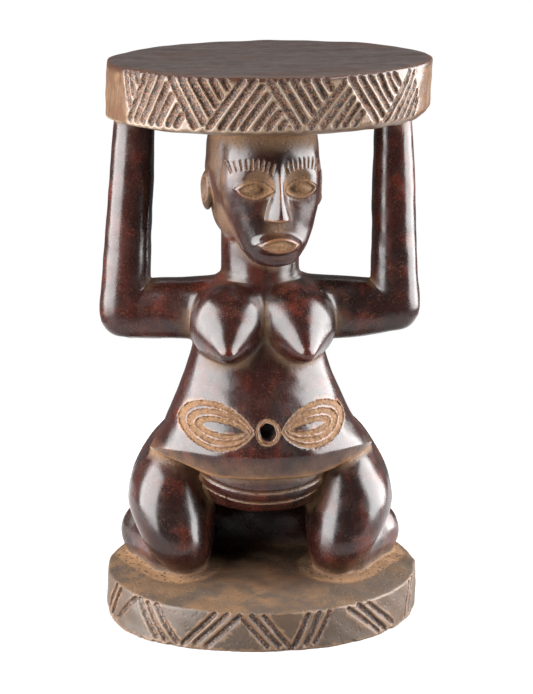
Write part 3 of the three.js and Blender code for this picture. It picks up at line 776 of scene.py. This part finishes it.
class Head:
    low = np.array([-HALF - 10, -70, 0])
    high = np.array([HALF + 10, 55, HEAD_HEIGHT + 2])
    socket = Ball([EYE_SPACING * 1.03, -56, EYE_LEVEL + 1.5], [14.5, 8.5, 13])
    eyeball = Ball([EYE_SPACING, -41, EYE_LEVEL - 1], [12.5, 10.2, 8.2])
    lips = Ball([0, -48, MOUTH_LEVEL], [17, 12.5, 8.5])
    ear = Ball([HALF - 0.5, 2, 52], [5.5, 9.5, 15.5])
    ear_hollow = Ball([HALF + 4.6, -1, 54], [4.8, 5.5, 9.5])

    def __call__(self, points):
        folded = np.stack([np.abs(points[:, 0]), points[:, 1], points[:, 2]], axis=1)
        x, y, z = folded.T
        distance = smooth_min(SKULL(points), MASK(points), 1.2)
        distance = smooth_max(distance, -self.socket(folded), 1.6)
        distance = smooth_min(distance, self.eyeball(folded), 1.6)
        distance = smooth_min(distance, self.lips(points), 3.0)
        distance = smooth_min(distance, NOSE(points), 2.4)
        front = smooth_step(-36, -42, y)
        eye = almond(x - EYE_SPACING, z - EYE_LEVEL + 1, *EYE_SIZE)
        distance -= 1.2 * front * (1 - smooth_step(0.5, 1.7, np.abs(eye - 0.6)))
        distance += 1.1 * front * (1 - smooth_step(-2.0, -0.3, eye))
        mouth = almond(x, z - MOUTH_LEVEL, *MOUTH_SIZE)
        distance -= 1.3 * front * (1 - smooth_step(0.6, 1.9, np.abs(mouth - 0.9)))
        distance += 1.7 * front * (1 - smooth_step(-2.0, -0.2, mouth))
        for i in range(BROW_STROKES):
            spread = i / (BROW_STROKES - 1) * 2 - 1
            foot_x = EYE_SPACING + 1.5 + spread * 13.5
            foot_z = EYE_LEVEL + 14.8 - 3.5 * spread * spread
            lean = spread * 0.3
            along = np.clip((x - foot_x) * lean + (z - foot_z), 0, 6.5)
            off = np.hypot(x - foot_x - along * lean, z - foot_z - along)
            distance += 0.9 * (1 - smooth_step(0.2, 1.1, off)) * (y < -30)
        distance = smooth_min(distance, self.ear(folded), 1.5)
        return smooth_max(distance, -self.ear_hollow(folded), 1.2)


def head_frame(points):
    """The points as the head sees them, from the chin up."""
    head = turned(points, HEAD_TURN, HEAD_CENTRE_X, HEAD_CENTRE_Y)
    return head - np.array([HEAD_CENTRE_X, HEAD_CENTRE_Y, CHIN_HEIGHT], dtype=np.float32)


HEAD = Head()
TRUNK_FORM = Trunk()
BELLY_FORM = Belly()
SEAT_FORM = Seat()
BASE_FORM = Base()


def join(distance, points, form, blend, reach):
    """Adds a form to the distances of the points that it can reach, with a soft blend."""
    near = ((points > form.low - reach) & (points < form.high + reach)).all(axis=1)
    index = np.flatnonzero(near)
    if len(index):
        width = blend[index] if isinstance(blend, np.ndarray) else blend
        distance[index] = smooth_min(distance[index], form(points[index]), width)


def figure(points, reach):
    """The kneeling figure: body, arms, legs, neck and head."""
    distance = np.full(len(points), reach, dtype=np.float32)
    body = turned(points, BODY_TURN)
    join(distance, body, TRUNK_FORM, 1.0, reach)
    join(distance, body, BELLY_FORM, 2.5, reach)
    join(distance, points, BEAM, 5.0, reach)
    for form in FOREARMS:
        join(distance, points, form, 1.6, reach)
    chest = np.full(len(points), reach, dtype=np.float32)
    for form in BREASTS:
        join(chest, body, form, 2.0, reach)
    # Their tops merge into the shoulders.
    distance = smooth_min(distance, chest, 2.4 + 5.4 * smooth_step(226, 244, points[:, 2]))
    for leg in (points, mirrored(points)):
        for form, blend in LEG_FORMS:
            join(distance, leg, form, blend, reach)
    join(distance, points, HEEL_BLOCK, 8.0, reach)
    join(distance, turned(points, HEAD_TURN / 2), NECK, 5.0, reach)
    join(distance, head_frame(points), HEAD, 2.0, reach)
    near = np.flatnonzero(np.abs(distance) < 6)
    distance[near] += 0.16 * KNIFE(points[near]) + 0.3 * ADZE(points[near])
    return distance


def stool(points, reach):
    """The distance from the surface of the whole block, no more than reach."""
    distance = np.full(len(points), reach, dtype=np.float32)
    inner = (points[:, 2] > BASE_THICKNESS - 12) & (points[:, 2] < SEAT_BOTTOM + 12)
    index = np.flatnonzero(inner)
    if len(index):
        distance[index] = figure(points[index], reach)
    join(distance, points, SEAT_FORM, 2.2, reach)
    join(distance, points, BASE_FORM, 4.0, reach)
    return distance


# Turning the field into a mesh

CHUNK = 60000


def field(points, reach):
    """The field at many points, worked out in parallel pieces."""
    points = points.astype(np.float32)
    pieces = [points[i:i + CHUNK] for i in range(0, len(points), CHUNK)]
    with ThreadPoolExecutor(4) as pool:
        return np.concatenate(list(pool.map(lambda piece: stool(piece, reach), pieces)))


def grid_places(*counts):
    """The whole-number places of a box with so many rows, columns and layers."""
    rows = [np.arange(count) for count in counts]
    return np.stack(np.meshgrid(*rows, indexing="ij"), axis=-1).reshape(-1, 3)


CORNERS = grid_places(2, 2, 2)
COARSE_BLOCK = 16
HALF_DIAGONAL = 0.866
KEY_STEPS = np.array([4096 ** 2, 4096, 1], dtype=np.int64)
SAFE_REACH = 8.0


def near_blocks(origin, size):
    """Blocks of two voxels a side that the surface may cross, found from coarse to fine."""
    block = COARSE_BLOCK
    index = grid_places(*np.ceil(size / (block * VOXEL)).astype(int))
    while True:
        side = block * VOXEL
        reach = side * HALF_DIAGONAL * 1.3 + 1.0
        distance = field(origin + (index + 0.5) * side, reach + 6)
        index = index[np.abs(distance) < reach]
        if block == 2:
            return index * 2
        block //= 2
        index = (index[:, None, :] * 2 + CORNERS[None]).reshape(-1, 3)


def surface_net(origin, size):
    """One vertex in each voxel that the surface crosses, and a four-sided face for each crossed edge."""
    blocks = near_blocks(origin, size).astype(np.int64)
    nodes = (blocks[:, None, :] + grid_places(3, 3, 3)[None]).reshape(-1, 3)
    _, first, inverse = np.unique(nodes @ KEY_STEPS, return_index=True, return_inverse=True)
    values = field(origin + nodes[first] * VOXEL, SAFE_REACH)
    values = values[inverse].reshape(-1, 3, 3, 3)
    places = []
    cell_keys = []
    for di, dj, dk in CORNERS:
        corner = values[:, di:di + 2, dj:dj + 2, dk:dk + 2].reshape(-1, 8)
        inside = corner < 0
        active = np.flatnonzero(inside.any(axis=1) & ~inside.all(axis=1))
        corner = corner[active]
        total = np.zeros((len(active), 3))
        count = np.zeros(len(active))
        for a in range(8):
            for axis in range(3):
                if CORNERS[a][axis]:
                    continue
                b = a + (4, 2, 1)[axis]
                crossed = (corner[:, a] < 0) != (corner[:, b] < 0)
                share = corner[:, a] / np.where(crossed, corner[:, a] - corner[:, b], 1.0)
                point = np.repeat(CORNERS[a][None].astype(float), len(active), axis=0)
                point[:, axis] = share
                total += point * crossed[:, None]
                count += crossed
        cell = blocks[active] + np.array([di, dj, dk])
        places.append(origin + (cell + total / count[:, None]) * VOXEL)
        cell_keys.append(cell @ KEY_STEPS)
    places = np.concatenate(places)
    cell_keys = np.concatenate(cell_keys)
    order = np.argsort(cell_keys)
    cell_keys = cell_keys[order]
    faces = []
    for axis in range(3):
        second = KEY_STEPS[(axis + 1) % 3]
        third = KEY_STEPS[(axis + 2) % 3]
        for di, dj, dk in CORNERS:
            here = values[:, di, dj, dk]
            there = values[:, di + (axis == 0), dj + (axis == 1), dk + (axis == 2)]
            crossed = np.flatnonzero((here < 0) != (there < 0))
            key = (blocks[crossed] + np.array([di, dj, dk])) @ KEY_STEPS
            ring = np.stack([key - second - third, key - third, key, key - second], axis=1)
            flip = here[crossed] >= 0
            ring[flip] = ring[flip][:, ::-1]
            faces.append(np.searchsorted(cell_keys, ring))
    return places[order], np.concatenate(faces)


PROBES = np.array([[1, -1, -1], [-1, -1, 1], [-1, 1, -1], [1, 1, 1]], dtype=np.float32)


def slope(points, step):
    """The field and its gradient, from four points round each place."""
    values = [field(points + probe * step, SAFE_REACH) for probe in PROBES]
    gradient = sum(value[:, None] * probe for value, probe in zip(values, PROBES)) / (4 * step)
    return sum(values) / 4, gradient


def settle(points, limit, step=0.3):
    """Moves points onto the surface, each by no more than the limit."""
    distance, gradient = slope(points, step)
    square = (gradient ** 2).sum(axis=1) + 1e-6
    move = -distance[:, None] * gradient / square[:, None]
    length = np.linalg.norm(move, axis=1, keepdims=True) + 1e-9
    return points + move * np.minimum(1.0, limit / length)


def sculpt():
    """Makes the piece: the field's surface as one mesh, thinned out to TRIANGLES."""
    margin = 4.0
    low = np.array([-SEAT_RADIUS - 12, -SEAT_RADIUS - 6, -margin])
    high = np.array([SEAT_RADIUS + 12, SEAT_RADIUS + 6, STOOL_HEIGHT + margin])
    places, faces = surface_net(low, high - low)
    places = settle(places, VOXEL * 0.5)
    mesh = bpy.data.meshes.new("carved_stool_wood")
    mesh.vertices.add(len(places))
    mesh.vertices.foreach_set("co", (places * METRE).astype(np.float32).ravel())
    mesh.loops.add(len(faces) * 4)
    mesh.loops.foreach_set("vertex_index", faces.astype(np.int32).ravel())
    mesh.polygons.add(len(faces))
    mesh.polygons.foreach_set("loop_start", np.arange(0, len(faces) * 4, 4, dtype=np.int32))
    mesh.update(calc_edges=True)
    mesh.validate()
    piece = bpy.data.objects.new("carved_stool_wood", mesh)
    bpy.context.scene.collection.objects.link(piece)
    thin = piece.modifiers.new("thin", "DECIMATE")
    thin.ratio = TRIANGLES / (2 * len(faces))
    thin.use_collapse_triangulate = True
    seen = piece.evaluated_get(bpy.context.evaluated_depsgraph_get())
    thinned = bpy.data.meshes.new_from_object(seen)
    piece.modifiers.clear()
    piece.data = thinned
    thinned.name = "carved_stool_wood"
    bpy.data.meshes.remove(mesh)
    return piece


def vertex_places(mesh):
    flat = np.empty(len(mesh.vertices) * 3, dtype=np.float32)
    mesh.vertices.foreach_get("co", flat)
    return flat.reshape(-1, 3) / METRE


RING_PLACES = 8
RING_TILT = 60.0


def crowding(points, normals, radius):
    """How much wood stands round the air in front of each point: 0 on a flat surface, more in a hollow.

    With a negative radius, how much air stands round the wood behind it: more on an edge or a ridge.
    """
    helper = np.where(np.abs(normals[:, 2:3]) < 0.9, [[0.0, 0.0, 1.0]], [[1.0, 0.0, 0.0]])
    across = np.cross(normals, helper)
    across /= np.linalg.norm(across, axis=1, keepdims=True)
    along = np.cross(normals, across)
    ahead = math.cos(math.radians(RING_TILT)) * radius
    aside = math.sin(math.radians(RING_TILT)) * abs(radius)
    total = np.zeros(len(points))
    for i in range(RING_PLACES):
        turn = 2 * math.pi * i / RING_PLACES
        ring = across * math.cos(turn) + along * math.sin(turn)
        distance = field(points + normals * ahead + ring * aside, abs(radius) + 6)
        total += np.clip(0.3 - distance / radius, 0, 0.8)
    return total / RING_PLACES


def finish_surface(piece):
    """Puts the thinned vertices back on the surface and stores the field's normals and marks."""
    mesh = piece.data
    points = settle(vertex_places(mesh), 0.35)
    mesh.vertices.foreach_set("co", (points * METRE).astype(np.float32).ravel())
    _, gradient = slope(points, 0.35)
    normals = gradient / (np.linalg.norm(gradient, axis=1, keepdims=True) + 1e-9)
    fine = smooth_step(0.03, 0.20, crowding(points, normals, 2.5))
    middle = smooth_step(0.04, 0.22, crowding(points, normals, 7.0))
    marks = {
        "hollow": np.maximum(fine, 0.6 * middle),
        "nook": smooth_step(0.05, 0.30, crowding(points, normals, 18.0)),
        "edge": smooth_step(0.02, 0.18, crowding(points, normals, -2.5)),
        **rim_marks(points, normals[:, 2]),
        **belly_marks(points, normals[:, 1]),
        **head_marks(points),
    }
    for name, values in marks.items():
        layer = mesh.attributes.new(name, "FLOAT", "POINT")
        layer.data.foreach_set("value", np.clip(values, 0, 1).astype(np.float32))
    mesh.shade_smooth()
    mesh.normals_split_custom_set_from_vertices([tuple(row) for row in normals.astype(float)])
    mesh.update()


def rim_marks(points, up):
    """The dry wood of the seat and the base, and the grooves in their rims."""
    height = points[:, 2]
    level = smooth_step(0.5, 0.9, up)
    side = 1 - smooth_step(0.3, 0.7, np.abs(up))
    seated = seat_frame(points)
    seat = smooth_step(SEAT_BOTTOM - 1, SEAT_BOTTOM + 1, seated[:, 2])
    seat_depth = SEAT_CARVING(rim_angle(seated, SEAT_CENTRE_X), seated[:, 2])
    lip = smooth_step(STOOL_HEIGHT - 4.6, STOOL_HEIGHT - 3.4, seated[:, 2])
    base = 1 - smooth_step(BASE_THICKNESS + BASE_CROWN - 2, BASE_THICKNESS + BASE_CROWN + 4, height)
    base_depth = BASE_CARVING(rim_angle(points, BASE_CENTRE_X), height)
    foot = smooth_step(BASE_THICKNESS - 2, BASE_THICKNESS, height)
    return {
        "seat_top": seat * level * smooth_step(STOOL_HEIGHT - 6, STOOL_HEIGHT - 3, seated[:, 2]),
        "seat_rim": seat * (1 - level),
        "seat_lip": lip * (1 - smooth_step(0.93, 0.985, up)),
        "seat_cut": seat_depth / SEAT_STROKE_DEPTH * seat * side,
        "base_wood": base,
        "base_top": base * smooth_step(0.35, 0.8, up),
        "base_cut": base_depth / BASE_STROKE_DEPTH * base * side,
        "foot": foot * (1 - smooth_step(BASE_THICKNESS + 9, BASE_THICKNESS + 14, height)),
    }


def belly_marks(points, back):
    """The belly's pattern, its worn ridge with the slant above it, and the navel, painted black as shade.
    """
    body = turned(points, BODY_TURN)
    x, y, z = body.T
    on_trunk = (np.abs(TRUNK_FORM(body.astype(np.float32))) < 1.2) & (y < -12)
    above = z - ridge_lift(x, z) - RIDGE_HEIGHT
    ridge = np.exp(-((above - 0.4) / 1.2) ** 2) * (back < -0.2)
    apron = smooth_step(0, 3, above) * (1 - smooth_step(5, 18, above))
    reach = navel_reach(body)
    return {
        "belly_cut": 1 - smooth_step(-0.6, 0.5, belly_groove(body)),
        "belly_ridge": ridge * on_trunk,
        "apron": apron * on_trunk,
        # The inside of the navel hole, which is painted black as shade
        "navel": (1 - smooth_step(-0.8, 0.6, reach)) * (np.abs(y + 68) < 12),
    }


def head_marks(points):
    """The dusty parts of the head: its crown, its sides, and the hollows of the carving in front."""
    head = head_frame(points)
    head[:, 0] = np.abs(head[:, 0])
    x, y, z = head.T
    on_head = (x < 60) & (np.abs(y) < 75) & (z > 0) & (z < HEAD_HEIGHT + 6)
    on_head &= points[:, 2] < SEAT_BOTTOM + 1
    eyes = 1 - smooth_step(-0.5, 1.6, Head.socket(head.astype(np.float32)))
    mouth = 1 - smooth_step(-1.5, 0.3, almond(x, z - MOUTH_LEVEL, *MOUTH_SIZE))
    under_nose = np.exp(-(x / 9) ** 2 - ((z - 31) / 5) ** 2) * (y < -45) * 0.8
    temple = smooth_step(0.35, 0.75, x / HALF) * smooth_step(10, 30, z)
    return {
        "pale_head": smooth_step(82, 96, z) * on_head,
        "head_side": temple * smooth_step(-40, -30, y) * on_head,
        "face_dust": np.max([eyes, mouth, under_nose], axis=0) * (y < -30) * on_head,
    }


piece = sculpt()
finish_surface(piece)


# The wood

class Nodes:
    """Short names for building a material's nodes, and the noises that all its parts share."""

    def __init__(self, material):
        self.tree = material.node_tree
        self.tree.nodes.clear()
        self.place = self.new("ShaderNodeTexCoord", output="Object")
        upright = self.stretched(1.0, 1.0, 0.16)
        self.grain = self.noise(upright, 420.0, 4.0, 0.6)
        self.streak = self.noise(upright, 95.0, 3.0, 0.55, 0.3)
        self.cloud = self.noise(self.place, 17.0, 3.0, 0.5)
        self.patch = self.noise(self.place, 46.0, 4.0, 0.6)
        self.fine = self.noise(self.place, 520.0, 3.0, 0.65)
        self.speck = self.noise(self.place, 800.0, 2.0, 0.6)
        spots = self.new("ShaderNodeTexVoronoi", {"Vector": self.place, "Scale": 230.0})
        self.pits = self.ramp(spots, 0.14, 0.36, 1.0, 0.0)

    def new(self, kind, inputs=None, output=0, **settings):
        """Makes a node, feeds its inputs by name or number, and returns one output."""
        node = self.tree.nodes.new(kind)
        for name, value in settings.items():
            setattr(node, name, value)
        for name, value in (inputs or {}).items():
            socket = node.inputs[name]
            if isinstance(value, bpy.types.NodeSocket):
                self.tree.links.new(value, socket)
            elif socket.type == "RGBA":
                socket.default_value = (*value, 1.0)
            else:
                socket.default_value = value
        return node.outputs[output]

    def mark(self, name):
        return self.new("ShaderNodeAttribute", output="Fac", attribute_name=name)

    def math(self, operation, *values):
        return self.new("ShaderNodeMath", dict(enumerate(values)), operation=operation)

    def times(self, first, *others):
        for other in others:
            first = self.math("MULTIPLY", first, other)
        return first

    def most(self, first, *others):
        for other in others:
            first = self.math("MAXIMUM", first, other)
        return first

    def ramp(self, value, low, high, to_low=0.0, to_high=1.0):
        inputs = dict(enumerate((value, low, high, to_low, to_high)))
        return self.new("ShaderNodeMapRange", inputs, interpolation_type="SMOOTHSTEP")

    def mix(self, share, a, b):
        """A colour between two."""
        inputs = {0: share, 6: a, 7: b}
        return self.new("ShaderNodeMix", inputs, 2, data_type="RGBA", clamp_factor=True)

    def blend(self, share, a, b):
        """A number between two."""
        return self.new("ShaderNodeMix", {0: share, 2: a, 3: b}, data_type="FLOAT", clamp_factor=True)

    def paint(self, tone, *coats):
        """A colour under several coats, each with its share and its own colour."""
        for share, colour in coats:
            tone = self.mix(share, tone, colour)
        return tone

    def noise(self, place, scale, detail=3.0, roughness=0.55, distortion=0.0):
        inputs = {"Vector": place, "Scale": scale, "Detail": detail, "Roughness": roughness}
        return self.new("ShaderNodeTexNoise", {**inputs, "Distortion": distortion})

    def stretched(self, x, y, z):
        return self.new("ShaderNodeMapping", {"Vector": self.place, "Scale": (x, y, z)})


NEAR_BLACK = (0.0050, 0.0020, 0.0018)
MAROON = (0.014, 0.0030, 0.0023)
RED_BROWN = (0.046, 0.0068, 0.0034)
ORANGE_BROWN = (0.110, 0.047, 0.022)
REDDISH = (0.062, 0.030, 0.015)
TAN = (0.090, 0.050, 0.026)
RIDGE_TAN = (0.122, 0.086, 0.058)
OCHRE = (0.072, 0.037, 0.015)
PALE_OCHRE = (0.122, 0.060, 0.023)
UMBER = (0.022, 0.0118, 0.0062)
DARK_UMBER = (0.0075, 0.0036, 0.0020)
GREY_BROWN = (0.034, 0.0215, 0.0130)
DRY_BROWN = (0.042, 0.0215, 0.0105)
SEAT_GREY = (0.030, 0.0200, 0.0170)
SEAT_BROWN = (0.019, 0.0100, 0.0085)
LIP_BROWN = (0.030, 0.0105, 0.0042)


def figure_tone(n):
    """Polished wood, with dust in its pores."""
    return n.paint(
        n.mix(n.ramp(n.cloud, 0.36, 0.62), NEAR_BLACK, MAROON),
        (n.ramp(n.patch, 0.50, 0.72, 0.0, 0.7), RED_BROWN),
        (n.ramp(n.streak, 0.52, 0.70, 0.0, 0.35), RED_BROWN),
        (n.ramp(n.grain, 0.56, 0.70, 0.0, 0.25), NEAR_BLACK),
        (n.times(n.ramp(n.speck, 0.56, 0.64), n.ramp(n.patch, 0.35, 0.65, 0.06, 0.32)), TAN),
        (n.times(n.ramp(n.mark("edge"), 0.35, 0.85), n.ramp(n.patch, 0.30, 0.62, 0.35, 0.9)), ORANGE_BROWN),
        (n.times(n.mark("belly_ridge"), n.ramp(n.patch, 0.30, 0.55, 0.35, 0.9)), PALE_OCHRE),
        (n.times(n.mark("apron"), n.ramp(n.patch, 0.30, 0.65, 0.05, 0.40)), TAN),
    )


def seat_top_tone(n):
    lengthwise = n.noise(n.stretched(0.22, 1.6, 1.0), 60.0, 5.0, 0.6, 0.5)
    return n.paint(
        n.mix(n.ramp(lengthwise, 0.34, 0.66), SEAT_BROWN, SEAT_GREY),
        (n.ramp(n.cloud, 0.50, 0.68, 0.0, 0.45), LIP_BROWN),
    )


def seat_rim_tone(n):
    """Light worn ridges, and grooves painted near black as shade in the cuts, with orange specks of dust.
    """
    # Painted shade: the groove colour is near black, with orange specks of dust.
    groove = n.mix(n.ramp(n.fine, 0.42, 0.62), DARK_UMBER, UMBER)
    groove = n.mix(n.ramp(n.speck, 0.48, 0.58), groove, ORANGE_BROWN)
    return n.paint(
        n.mix(n.ramp(n.patch, 0.38, 0.62), REDDISH, TAN),
        (n.ramp(n.grain, 0.45, 0.7, 0.0, 0.5), UMBER),
        (n.ramp(n.mark("edge"), 0.25, 0.65, 0.0, 0.9), RIDGE_TAN),
        # Painted shade: the deeper the cut, the more of the near-black groove colour.
        (n.ramp(n.mark("seat_cut"), 0.02, 0.24), groove),
    )


def base_tone(n, ring_of_dust):
    # Painted shade in the base's grooves: near black, with orange specks of dust.
    groove = n.mix(n.ramp(n.speck, 0.50, 0.62), DARK_UMBER, ORANGE_BROWN)
    pitted = n.mix(n.pits, n.mix(n.ramp(n.fine, 0.3, 0.5), OCHRE, PALE_OCHRE), DARK_UMBER)
    dusty_top = n.paint(
        n.mix(n.ramp(n.patch, 0.36, 0.60), GREY_BROWN, OCHRE),
        (n.ramp(n.speck, 0.50, 0.62, 0.0, 0.65), UMBER),
        (n.ramp(n.cloud, 0.48, 0.60, 0.0, 0.45), UMBER),
        (n.times(ring_of_dust, 0.9), pitted),
    )
    return n.paint(
        n.mix(n.ramp(n.cloud, 0.38, 0.60), GREY_BROWN, DRY_BROWN),
        (n.ramp(n.patch, 0.5, 0.68, 0.0, 0.6), UMBER),
        (n.ramp(n.fine, 0.48, 0.62, 0.0, 0.45), UMBER),
        (n.ramp(n.mark("edge"), 0.30, 0.7, 0.0, 0.9), TAN),
        # Painted shade: the deeper the cut, the more of the near-black groove colour.
        (n.ramp(n.mark("base_cut"), 0.08, 0.4), groove),
        (n.mark("base_top"), dusty_top),
    )


def ochre_dust(n):
    """How much dust lies in hollows, on the head and in the pattern, and its colour."""
    thick = n.most(n.mark("pale_head"), n.mark("belly_cut"), n.mark("face_dust"))
    thick = n.most(thick, n.times(n.mark("hollow"), 0.8))
    pale = n.blend(thick, n.ramp(n.fine, 0.35, 0.75, 0.0, 0.5), n.ramp(n.fine, 0.30, 0.6, 0.5, 1.0))
    tone = n.mix(pale, OCHRE, PALE_OCHRE)
    tone = n.mix(n.ramp(n.speck, 0.50, 0.62, 0.0, 0.7), tone, UMBER)
    figure = n.math("SUBTRACT", 1.0, n.most(n.mark("seat_rim"), n.mark("base_wood"), n.mark("seat_top")))
    dust = n.most(
        n.times(n.mark("hollow"), figure, n.ramp(n.patch, 0.25, 0.55, 0.6, 1.0)),
        n.times(n.mark("nook"), figure, n.ramp(n.patch, 0.40, 0.65, 0.04, 0.30)),
        n.times(n.mark("pale_head"), n.ramp(n.patch, 0.30, 0.60, 0.55, 1.0)),
        n.times(n.mark("head_side"), n.ramp(n.patch, 0.32, 0.60, 0.15, 0.65)),
        n.times(n.mark("face_dust"), n.ramp(n.fine, 0.30, 0.55, 0.6, 1.0)),
        n.mark("belly_cut"),
    )
    return dust, tone


def carved_wood():
    material = bpy.data.materials.new("carved_wood")
    material.use_nodes = True
    n = Nodes(material)
    ring_of_dust = n.times(n.ramp(n.mark("nook"), 0.1, 0.7), n.mark("foot"))
    dust, dust_tone = ochre_dust(n)
    colour = n.paint(
        figure_tone(n),
        (n.mark("seat_rim"), seat_rim_tone(n)),
        (n.mark("base_wood"), base_tone(n, ring_of_dust)),
        (n.mark("seat_top"), seat_top_tone(n)),
        (n.mark("seat_lip"), LIP_BROWN),
        (dust, dust_tone),
        # Painted shade: the inside of the navel hole is near black.
        (n.mark("navel"), NEAR_BLACK),
    )

    dry = n.most(
        dust,
        n.times(n.ramp(n.mark("seat_cut"), 0.02, 0.24, 0.12, 0.70), n.mark("seat_rim")),
        n.times(n.mark("base_wood"), 0.45),
        n.times(n.mark("base_top"), 0.7),
        n.times(ring_of_dust, 0.95),
    )
    polish = n.ramp(n.noise(n.place, 90.0, 3.0, 0.6), 0.35, 0.7, 0.22, 0.32)
    rough = n.blend(dry, polish, 0.84)
    rough = n.blend(n.mark("seat_top"), rough, n.ramp(n.streak, 0.3, 0.7, 0.36, 0.52))

    height = n.times(n.grain, 0.06)
    height = n.math("MULTIPLY_ADD", n.times(n.fine, dry), 0.6, height)
    height = n.math("MULTIPLY_ADD", n.times(n.pits, dry), -0.5, height)
    height = n.math("MULTIPLY_ADD", n.noise(n.place, 120.0, 2.0), 0.16, height)
    bump = n.new("ShaderNodeBump", {"Height": height, "Strength": 0.55, "Distance": 0.0012})

    shader = n.new("ShaderNodeBsdfPrincipled", {
        "Base Color": colour, "Roughness": rough, "Normal": bump, "IOR": 1.5, "Specular IOR Level": 0.36,
    })
    output = n.tree.nodes.new("ShaderNodeOutputMaterial")
    n.tree.links.new(shader, output.inputs["Surface"])
    return material


piece.data.materials.append(carved_wood())
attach(piece, "root")
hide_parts("carved_stool")


# Floor, light and camera, in metres

LIT_PLACE = Vector((0.0, 0.0, 0.21))
CAMERA_PLACE = (0.00205, -1.81207, 0.6277)
CAMERA_PITCH = 76.7475
CAMERA_LENS = 127.34


def pale_floor():
    bpy.ops.mesh.primitive_plane_add(size=1.1, location=(0, 0, 0))
    floor = bpy.context.object
    floor.name = "floor"
    material = bpy.data.materials.new("pale_floor")
    material.use_nodes = True
    shader = material.node_tree.nodes["Principled BSDF"]
    shader.inputs["Base Color"].default_value = (0.36, 0.36, 0.36, 1.0)
    shader.inputs["Roughness"].default_value = 0.95
    shader.inputs["Specular IOR Level"].default_value = 0.0
    floor.data.materials.append(material)


def softbox(name, azimuth, distance, height, size, power):
    """A soft light at an azimuth in degrees from the front, to the viewer's right."""
    data = bpy.data.lights.new(name, "AREA")
    data.shape = "RECTANGLE"
    data.size, data.size_y = size
    data.energy = power
    light = bpy.data.objects.new(name, data)
    angle = math.radians(azimuth)
    light.location = (distance * math.sin(angle), -distance * math.cos(angle), height)
    light.rotation_euler = (LIT_PLACE - light.location).to_track_quat("-Z", "Y").to_euler()
    bpy.context.scene.collection.objects.link(light)


def studio_light():
    softbox("left_softbox", -70, 1.25, 0.62, (1.9, 1.5), 155.0)
    softbox("right_softbox", 90, 1.25, 0.62, (1.7, 1.5), 150.0)
    softbox("overhead", 180, 0.8, 1.7, (1.4, 1.0), 7.0)
    world = bpy.data.worlds.new("studio")
    world.use_nodes = True
    nodes = world.node_tree.nodes
    links = world.node_tree.links
    fill = nodes["Background"]
    fill.inputs["Strength"].default_value = 0.16
    paper = nodes.new("ShaderNodeBackground")
    paper.inputs["Strength"].default_value = 1.0
    for shade in (fill, paper):
        shade.inputs["Color"].default_value = (1.0, 1.0, 1.0, 1.0)
    seen = nodes.new("ShaderNodeLightPath")
    choice = nodes.new("ShaderNodeMixShader")
    links.new(seen.outputs["Is Camera Ray"], choice.inputs["Fac"])
    links.new(fill.outputs["Background"], choice.inputs[1])
    links.new(paper.outputs["Background"], choice.inputs[2])
    links.new(choice.outputs["Shader"], nodes["World Output"].inputs["Surface"])
    bpy.context.scene.world = world


def photo_camera():
    data = bpy.data.cameras.new("camera")
    data.lens = CAMERA_LENS
    data.sensor_width = 36.0
    data.clip_end = 50.0
    camera = bpy.data.objects.new("camera", data)
    camera.location = CAMERA_PLACE
    camera.rotation_euler = (math.radians(CAMERA_PITCH), 0.0, 0.0)
    bpy.context.scene.collection.objects.link(camera)
    bpy.context.scene.camera = camera


pale_floor()
studio_light()
photo_camera()
bpy.context.scene.view_settings.view_transform = "Standard"
